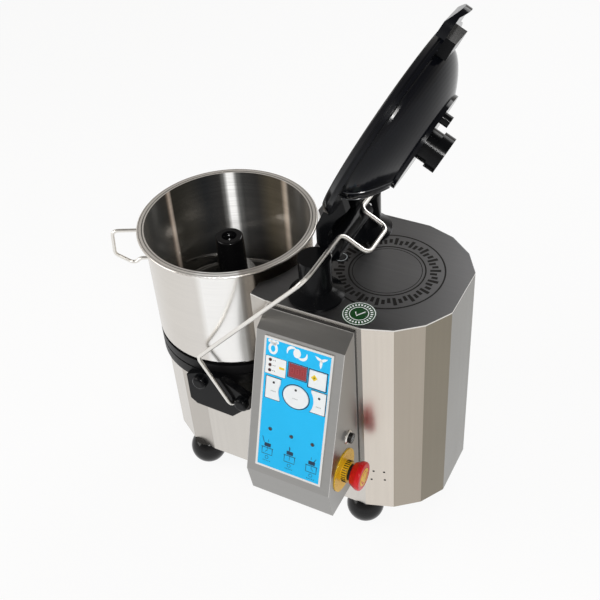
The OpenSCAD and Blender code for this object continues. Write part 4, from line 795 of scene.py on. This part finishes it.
def stopArrows(bm):
    r, half, head = stopHead["arrowR"], stopHead["arrowHalf"], stopHead["arrowHead"]
    z = stopHead["front"] + stopHead["insertT"]
    low, high = z - stopHead["arrowSink"], z + stopHead["arrowRise"]
    for start in stopHead["starts"]:
        outer = circlePoints(0, 0, r + half, 14, start=start, turn=stopHead["sweep"])
        inner = circlePoints(0, 0, r - half, 14, start=start, turn=stopHead["sweep"])
        extrudePlan(bm, outer + inner[::-1], low, high)
        a, tip = math.radians(start + stopHead["sweep"]), math.radians(start + stopHead["tip"])
        extrudePlan(bm, [((r + head) * math.cos(a), (r + head) * math.sin(a)),
                         (r * math.cos(tip), r * math.sin(tip)),
                         ((r - head) * math.cos(a), (r - head) * math.sin(a))], low, high)


def stopRibs(bm):
    inner = (stopCollar["innerR"], stopCollar["innerHalf"])
    outer = (stopCollar["outerR"], stopCollar["outerHalf"])
    corners = ((inner, -1), (outer, -1), (outer, 1), (inner, 1))
    for k in range(stopCollar["ribs"]):
        a = 2 * math.pi * k / stopCollar["ribs"]
        c, s = math.cos(a), math.sin(a)
        rib = [(r * c - side * half * s, r * s + side * half * c) for (r, half), side in corners]
        extrudePlan(bm, rib, stopCollar["low"], stopCollar["high"])


def switchBezel(bm):
    lathe(bm, switchRing, 48)


def switchMarks(bm):
    for x in switchBars["xs"]:
        bar = roundRect(x - switchBars["halfW"], -switchBars["halfL"],
                        x + switchBars["halfW"], switchBars["halfL"], switchBars["corner"])
        extrudePlan(bm, bar, switchBars["low"], switchBars["high"])


stopFrame, switchFrame = sideFrame(place["stop"]), sideFrame(place["switch"])
build("stop_head_insert", stopInsert, stopFrame, finishes["stop_yellow"], "stop_head")
build("stop_head_arrows", stopArrows, stopFrame, finishes["stop_red"], "stop_head",
      smooth=False)
build("stop_collar_ribs", stopRibs, stopFrame, finishes["stop_black"], "body", smooth=False)
build("switch_bezel", switchBezel, switchFrame, finishes["wire_steel"], "body")
build("switch_marks", switchMarks, switchFrame, printGrey, "round_switch", smooth=False)
print("switches dressed")


# painted shade: the bowl's rim is stepped, and dark rings inside its flat edge and near its outer edge
# stand for the shade in the step

rimShadeRings = {"inner": 116.6, "outer": 118.0, "edgeInner": 121.6, "edgeOuter": 122.3, "t": 0.05,
             "sink": 0.02}


def rimShadeLines(bm):
    low, high = place["rimZ"] - rimShadeRings["sink"], place["rimZ"] + rimShadeRings["t"]
    for inner, outer in (("inner", "outer"), ("edgeInner", "edgeOuter")):
        band(bm, circlePoints(place["bowlX"], place["midY"], rimShadeRings[outer], 128),
             circlePoints(place["bowlX"], place["midY"], rimShadeRings[inner], 128), low, high)


# dark steel colour for painted shade
rimShadeSteel = steel("rimShadeSteel", (0.16, 0.155, 0.15), rough=0.35, grain=(400, 400, 400))
build("bowl_rim_shade_lines", rimShadeLines, Matrix.Identity(4), rimShadeSteel, "bowl", smooth=False)
print("rim marked")


# marks on the tower's top


def topFrame(x, y):
    return mapped((x, y, place["towerZ"]), (1, 0, 0), (0, 1, 0), (0, 0, 1))


etch = {"y": 2, "rings": ((74.5, 2.2), (49.5, 2.0), (45.0, 1.0)), "t": 0.06, "sink": 0.02,
        "ticks": 54, "tickRs": ((55.0, 69.0), (58.0, 66.0), (55.0, 64.0)), "tickTurn": 4.0}
badge = {"at": (75.5, 40.0), "r": 10.5, "t": 0.25, "ring": (8.6, 7.6), "sides": 56}
sticker = {"at": (144.025, -52.05), "r": 21.5, "t": 0.2, "rings": ((20.6, 19.6), (12.4, 11.4)), "sides": 64,
           "ticks": 26, "tickRs": (17.6, 14.4), "tickTurn": 7,
           "hook": ((-5.5, 1.5), (-1.5, -4.5), (6.0, 6.0)), "hookW": 1.6}
flatDisc = {"sink": 0.02, "edge": 0.7, "round": 0.3, "print": 0.05}
etched = steel("etchedSteel", (0.022, 0.021, 0.020), rough=0.5, grain=(200, 200, 200))
badgeDark = plastic("badgeDark", (0.012, 0.013, 0.014), rough=0.25, grain=(600, 600, 600), bump=0.03)
stickerGreen = plastic("stickerGreen", (0.006, 0.055, 0.012), rough=0.3, grain=(600, 600, 600), bump=0.03,
                       coat=0.3)


def tick(bm, y, low, high, start, turn, steps, bottom, top):
    outer = circlePoints(0, y, high, steps, start=start, turn=turn)
    inner = circlePoints(0, y, low, steps, start=start, turn=turn)
    extrudePlan(bm, outer + inner[::-1], bottom, top)


def etchRings(bm):
    y, low, high = etch["y"], -etch["sink"], etch["t"]
    for r, w in etch["rings"]:
        band(bm, circlePoints(0, y, r + w / 2, 120), circlePoints(0, y, r - w / 2, 120), low, high)
    for k in range(etch["ticks"]):    # a plain ring of ticks of three lengths
        inner, outer = etch["tickRs"][k % 3]
        tick(bm, y, inner, outer, 360 * k / etch["ticks"], etch["tickTurn"], 2, low, high)


def disc(bm, piece):
    r, t = piece["r"], piece["t"]
    low = -flatDisc["sink"]
    lathe(bm, [(0, low), (r, low), (r, t * flatDisc["edge"]), (r - flatDisc["round"], t), (0, t)],
          piece["sides"])


def badgeDisc(bm):
    disc(bm, badge)


def badgeRing(bm):
    outer, inner = badge["ring"]
    band(bm, circlePoints(0, 0, outer, 48), circlePoints(0, 0, inner, 48),
         badge["t"] - flatDisc["sink"], badge["t"] + flatDisc["print"])


def stickerDisc(bm):
    disc(bm, sticker)


def stickerRings(bm):
    low, high = sticker["t"] - flatDisc["sink"], sticker["t"] + flatDisc["print"]
    for outer, inner in sticker["rings"]:
        band(bm, circlePoints(0, 0, outer, 72), circlePoints(0, 0, inner, 72), low, high)
    outer, inner = sticker["tickRs"]
    for k in range(sticker["ticks"]):    # a plain ring of short ticks
        tick(bm, 0, inner, outer, 360 * k / sticker["ticks"], sticker["tickTurn"], 3, low, high)
    strip(bm, sticker["hook"], sticker["hookW"], low, high)


build("top_etched_rings", etchRings, topFrame(place["towerX"], place["midY"]), etched, "body", smooth=False)
build("top_badge", badgeDisc, topFrame(*badge["at"]), badgeDark, "body")
build("top_badge_ring", badgeRing, topFrame(*badge["at"]), printGrey, "body", smooth=False)
build("top_sticker", stickerDisc, topFrame(*sticker["at"]), stickerGreen, "body")
build("top_sticker_print", stickerRings, topFrame(*sticker["at"]), printWhite, "body", smooth=False)
print("top marked")


# lid details

openAngle = math.radians(place["lidOpen"])
lidFrame = mapped(place["lidCentre"], (math.cos(openAngle), 0, -math.sin(openAngle)), (0, 1, 0),
                  (math.sin(openAngle), 0, math.cos(openAngle)))
dome = {"crownR": 62.7, "domeR": 105.0, "flangeT": 11.0, "domeH": 50.0,
        "grooves": ((-48, -22), (-70, -46)), "grooveR": 0.75, "lift": 0.1, "steps": 24, "reach": 0.98}
flangeRings = (((129.9, 6.2), (130.25, 6.5), (130.25, 7.4), (129.9, 7.7)),
               ((106.0, 10.9), (106.5, 11.6), (107.6, 11.6), (108.1, 10.9)))
ridgeGloss = plastic("ridgeGloss", (0.03, 0.032, 0.036), rough=0.14, gleam=0.7)


def domeAt(s):
    # radius and height of the dome at the share s of its rise
    return (dome["crownR"] + (dome["domeR"] - dome["crownR"]) * (1 - s * s),
            dome["flangeT"] + (dome["domeH"] - dome["flangeT"]) * s)


def domeGrooves(bm):
    for low, high in dome["grooves"]:
        for side in (-1, 1):
            points = []
            for k in range(dome["steps"] + 1):
                s = k / dome["steps"] * dome["reach"]
                r, z = domeAt(s)
                u = low + (high - low) * s
                points.append((-u, side * math.sqrt(max(0, r * r - u * u)), z + dome["lift"]))
            tubeAlong(bm, points, dome["grooveR"], 8)


def flangeLines(bm):
    for profile in flangeRings:
        lathe(bm, profile, 128)


build("lid_dome_grooves", domeGrooves, lidFrame, ridgeGloss, "lid")
build("lid_flange_lines", flangeLines, lidFrame, finishes["fitting_black"], "lid")
print("lid dressed")


# painted shade: small dark discs in the wall beside the emergency stop stand for the shade inside four
# small holes

holes = {"corner": (157.4, -75.5, 0), "along": (0.95189781, 0.30641565, 0),
         "out": (0.30641565, -0.95189781, 0),
         "at": ((12.0, 119.5), (26.5, 119.0), (9.0, 101.5), (27.5, 102.5)),
         "r": 1.7, "sink": 0.02, "rise": 0.05}
holeShadeBlack = plastic("holeShadeBlack", (0.003, 0.003, 0.003), rough=0.6, bump=0.1)


def wallHoleShades(bm):
    for x, z in holes["at"]:
        extrudePlan(bm, circlePoints(x, z, holes["r"], 20), -holes["sink"], holes["rise"])


wallFrame = mapped(holes["corner"], holes["along"], (0, 0, 1), holes["out"])
build("wall_hole_shades", wallHoleShades, wallFrame, holeShadeBlack, "body", smooth=False)
print("walls dressed")


# floor

floorMat, tree, shader = newMat("floorWhite")
shader.inputs["Roughness"].default_value = 0.7
shader.inputs["Specular IOR Level"].default_value = 0.2
floorWhite = {"dark": (0.93, 0.93, 0.93), "light": (0.95, 0.95, 0.95), "size": 30, "whiteShare": 0.9}
paper = twoTone(tree, grainNoise(tree, (3, 3, 3), 2.0), floorWhite["dark"], floorWhite["light"])
link(tree, paper, shader.inputs["Base Color"])
path = tree.nodes.new("ShaderNodeLightPath")
seen = combined(tree, "MAXIMUM", path.outputs["Is Camera Ray"], path.outputs["Is Glossy Ray"])
whiteOut = tree.nodes.new("ShaderNodeEmission")
whiteOut.inputs["Color"].default_value = (1, 1, 1, 1)
whiteOut.inputs["Strength"].default_value = 1.0
mixOut = tree.nodes.new("ShaderNodeMixShader")
link(tree, combined(tree, "MULTIPLY", seen, floorWhite["whiteShare"]), mixOut.inputs["Fac"])
link(tree, shader.outputs[0], mixOut.inputs[1])
link(tree, whiteOut.outputs[0], mixOut.inputs[2])
link(tree, mixOut.outputs[0], tree.nodes["Material Output"].inputs["Surface"])
bpy.ops.mesh.primitive_plane_add(size=floorWhite["size"], location=(0, 0, -0.0005))
floor = bpy.context.object
floor.name = "floor"
floor.data.materials.append(floorMat)


# studio round the part, from below to above, and white behind it

sky = ((0.0, (0.95, 0.94, 0.92)), (0.5, (0.86, 0.84, 0.81)), (0.60, (0.62, 0.59, 0.56)),
       (0.74, (0.30, 0.285, 0.27)), (1.0, (0.16, 0.155, 0.15)))
world = bpy.data.worlds.new("studio")
bpy.context.scene.world = world
world.use_nodes = True
tree = world.node_tree
background = tree.nodes["Background"]
coord = tree.nodes.new("ShaderNodeTexCoord")
split = tree.nodes.new("ShaderNodeSeparateXYZ")
link(tree, coord.outputs["Generated"], split.inputs[0])
height = spread(tree, split.outputs["Z"], 0.0, 1.0, -1.0, 1.0)
link(tree, rampOf(tree, height, sky), background.inputs["Color"])
background.inputs["Strength"].default_value = 1.0
white = tree.nodes.new("ShaderNodeBackground")
white.inputs["Color"].default_value = (1, 1, 1, 1)
white.inputs["Strength"].default_value = 1.0
path = tree.nodes.new("ShaderNodeLightPath")
mixWorld = tree.nodes.new("ShaderNodeMixShader")
link(tree, path.outputs["Is Camera Ray"], mixWorld.inputs["Fac"])
link(tree, background.outputs[0], mixWorld.inputs[1])
link(tree, white.outputs[0], mixWorld.inputs[2])
link(tree, mixWorld.outputs[0], tree.nodes["World Output"].inputs["Surface"])


# lamps, in metres, all aimed at the part's middle

aim = Vector((0, 0, 0.35))
lamps = (
    {"name": "keyLamp", "at": (1.05, -1.35, 1.75), "size": (0.35, 0.35), "watts": 14,
     "colour": (1, 0.985, 0.96)},
    {"name": "cameraLamp", "at": (0.62, -0.92, 1.30), "size": (0.06, 0.06), "watts": 3,
     "colour": (1, 1, 1)},
    {"name": "fillLamp", "at": (-1.6, -1.2, 1.3), "size": (1.4, 1.4), "watts": 18,
     "colour": (1, 0.99, 0.97)},
    {"name": "backLamp", "at": (0.4, 1.8, 1.7), "size": (1.2, 0.8), "watts": 14, "colour": (1, 1, 1)},
)
for lamp in lamps:
    data = bpy.data.lights.new(lamp["name"], "AREA")
    data.shape = "RECTANGLE"
    data.size, data.size_y = lamp["size"]
    data.energy = lamp["watts"]
    data.color = lamp["colour"]
    obj = bpy.data.objects.new(lamp["name"], data)
    obj.location = lamp["at"]
    obj.rotation_euler = (aim - Vector(lamp["at"])).to_track_quat("-Z", "Y").to_euler()
    bpy.context.scene.collection.objects.link(obj)


# camera, fitted to the photograph: angles in degrees, place in mm, focal length in pixels

camera = {"azimuth": 30.32, "elevation": 40.91, "roll": -4.60, "at": (544.1, -876.8, 1208.4),
          "focal": 999.85, "frame": 600, "sensor": 36.0}
azimuth, elevation, roll = (math.radians(camera[k]) for k in ("azimuth", "elevation", "roll"))
back = Vector((math.sin(azimuth) * math.cos(elevation), -math.cos(azimuth) * math.cos(elevation),
               math.sin(elevation)))
levelRight = Vector((math.cos(azimuth), math.sin(azimuth), 0))
levelUp = back.cross(levelRight)
right = math.cos(roll) * levelRight + math.sin(roll) * levelUp
up = -math.sin(roll) * levelRight + math.cos(roll) * levelUp
camData = bpy.data.cameras.new("camera")
camData.sensor_width = camera["sensor"]
camData.lens = camera["focal"] / camera["frame"] * camera["sensor"]
camData.clip_start, camData.clip_end = 0.05, 100
camObj = bpy.data.objects.new("camera", camData)
camObj.matrix_world = mapped([c * mm for c in camera["at"]], right, up, back)
bpy.context.scene.collection.objects.link(camObj)
bpy.context.scene.camera = camObj

bpy.context.scene.view_settings.view_transform = "Standard"
print("stage set")
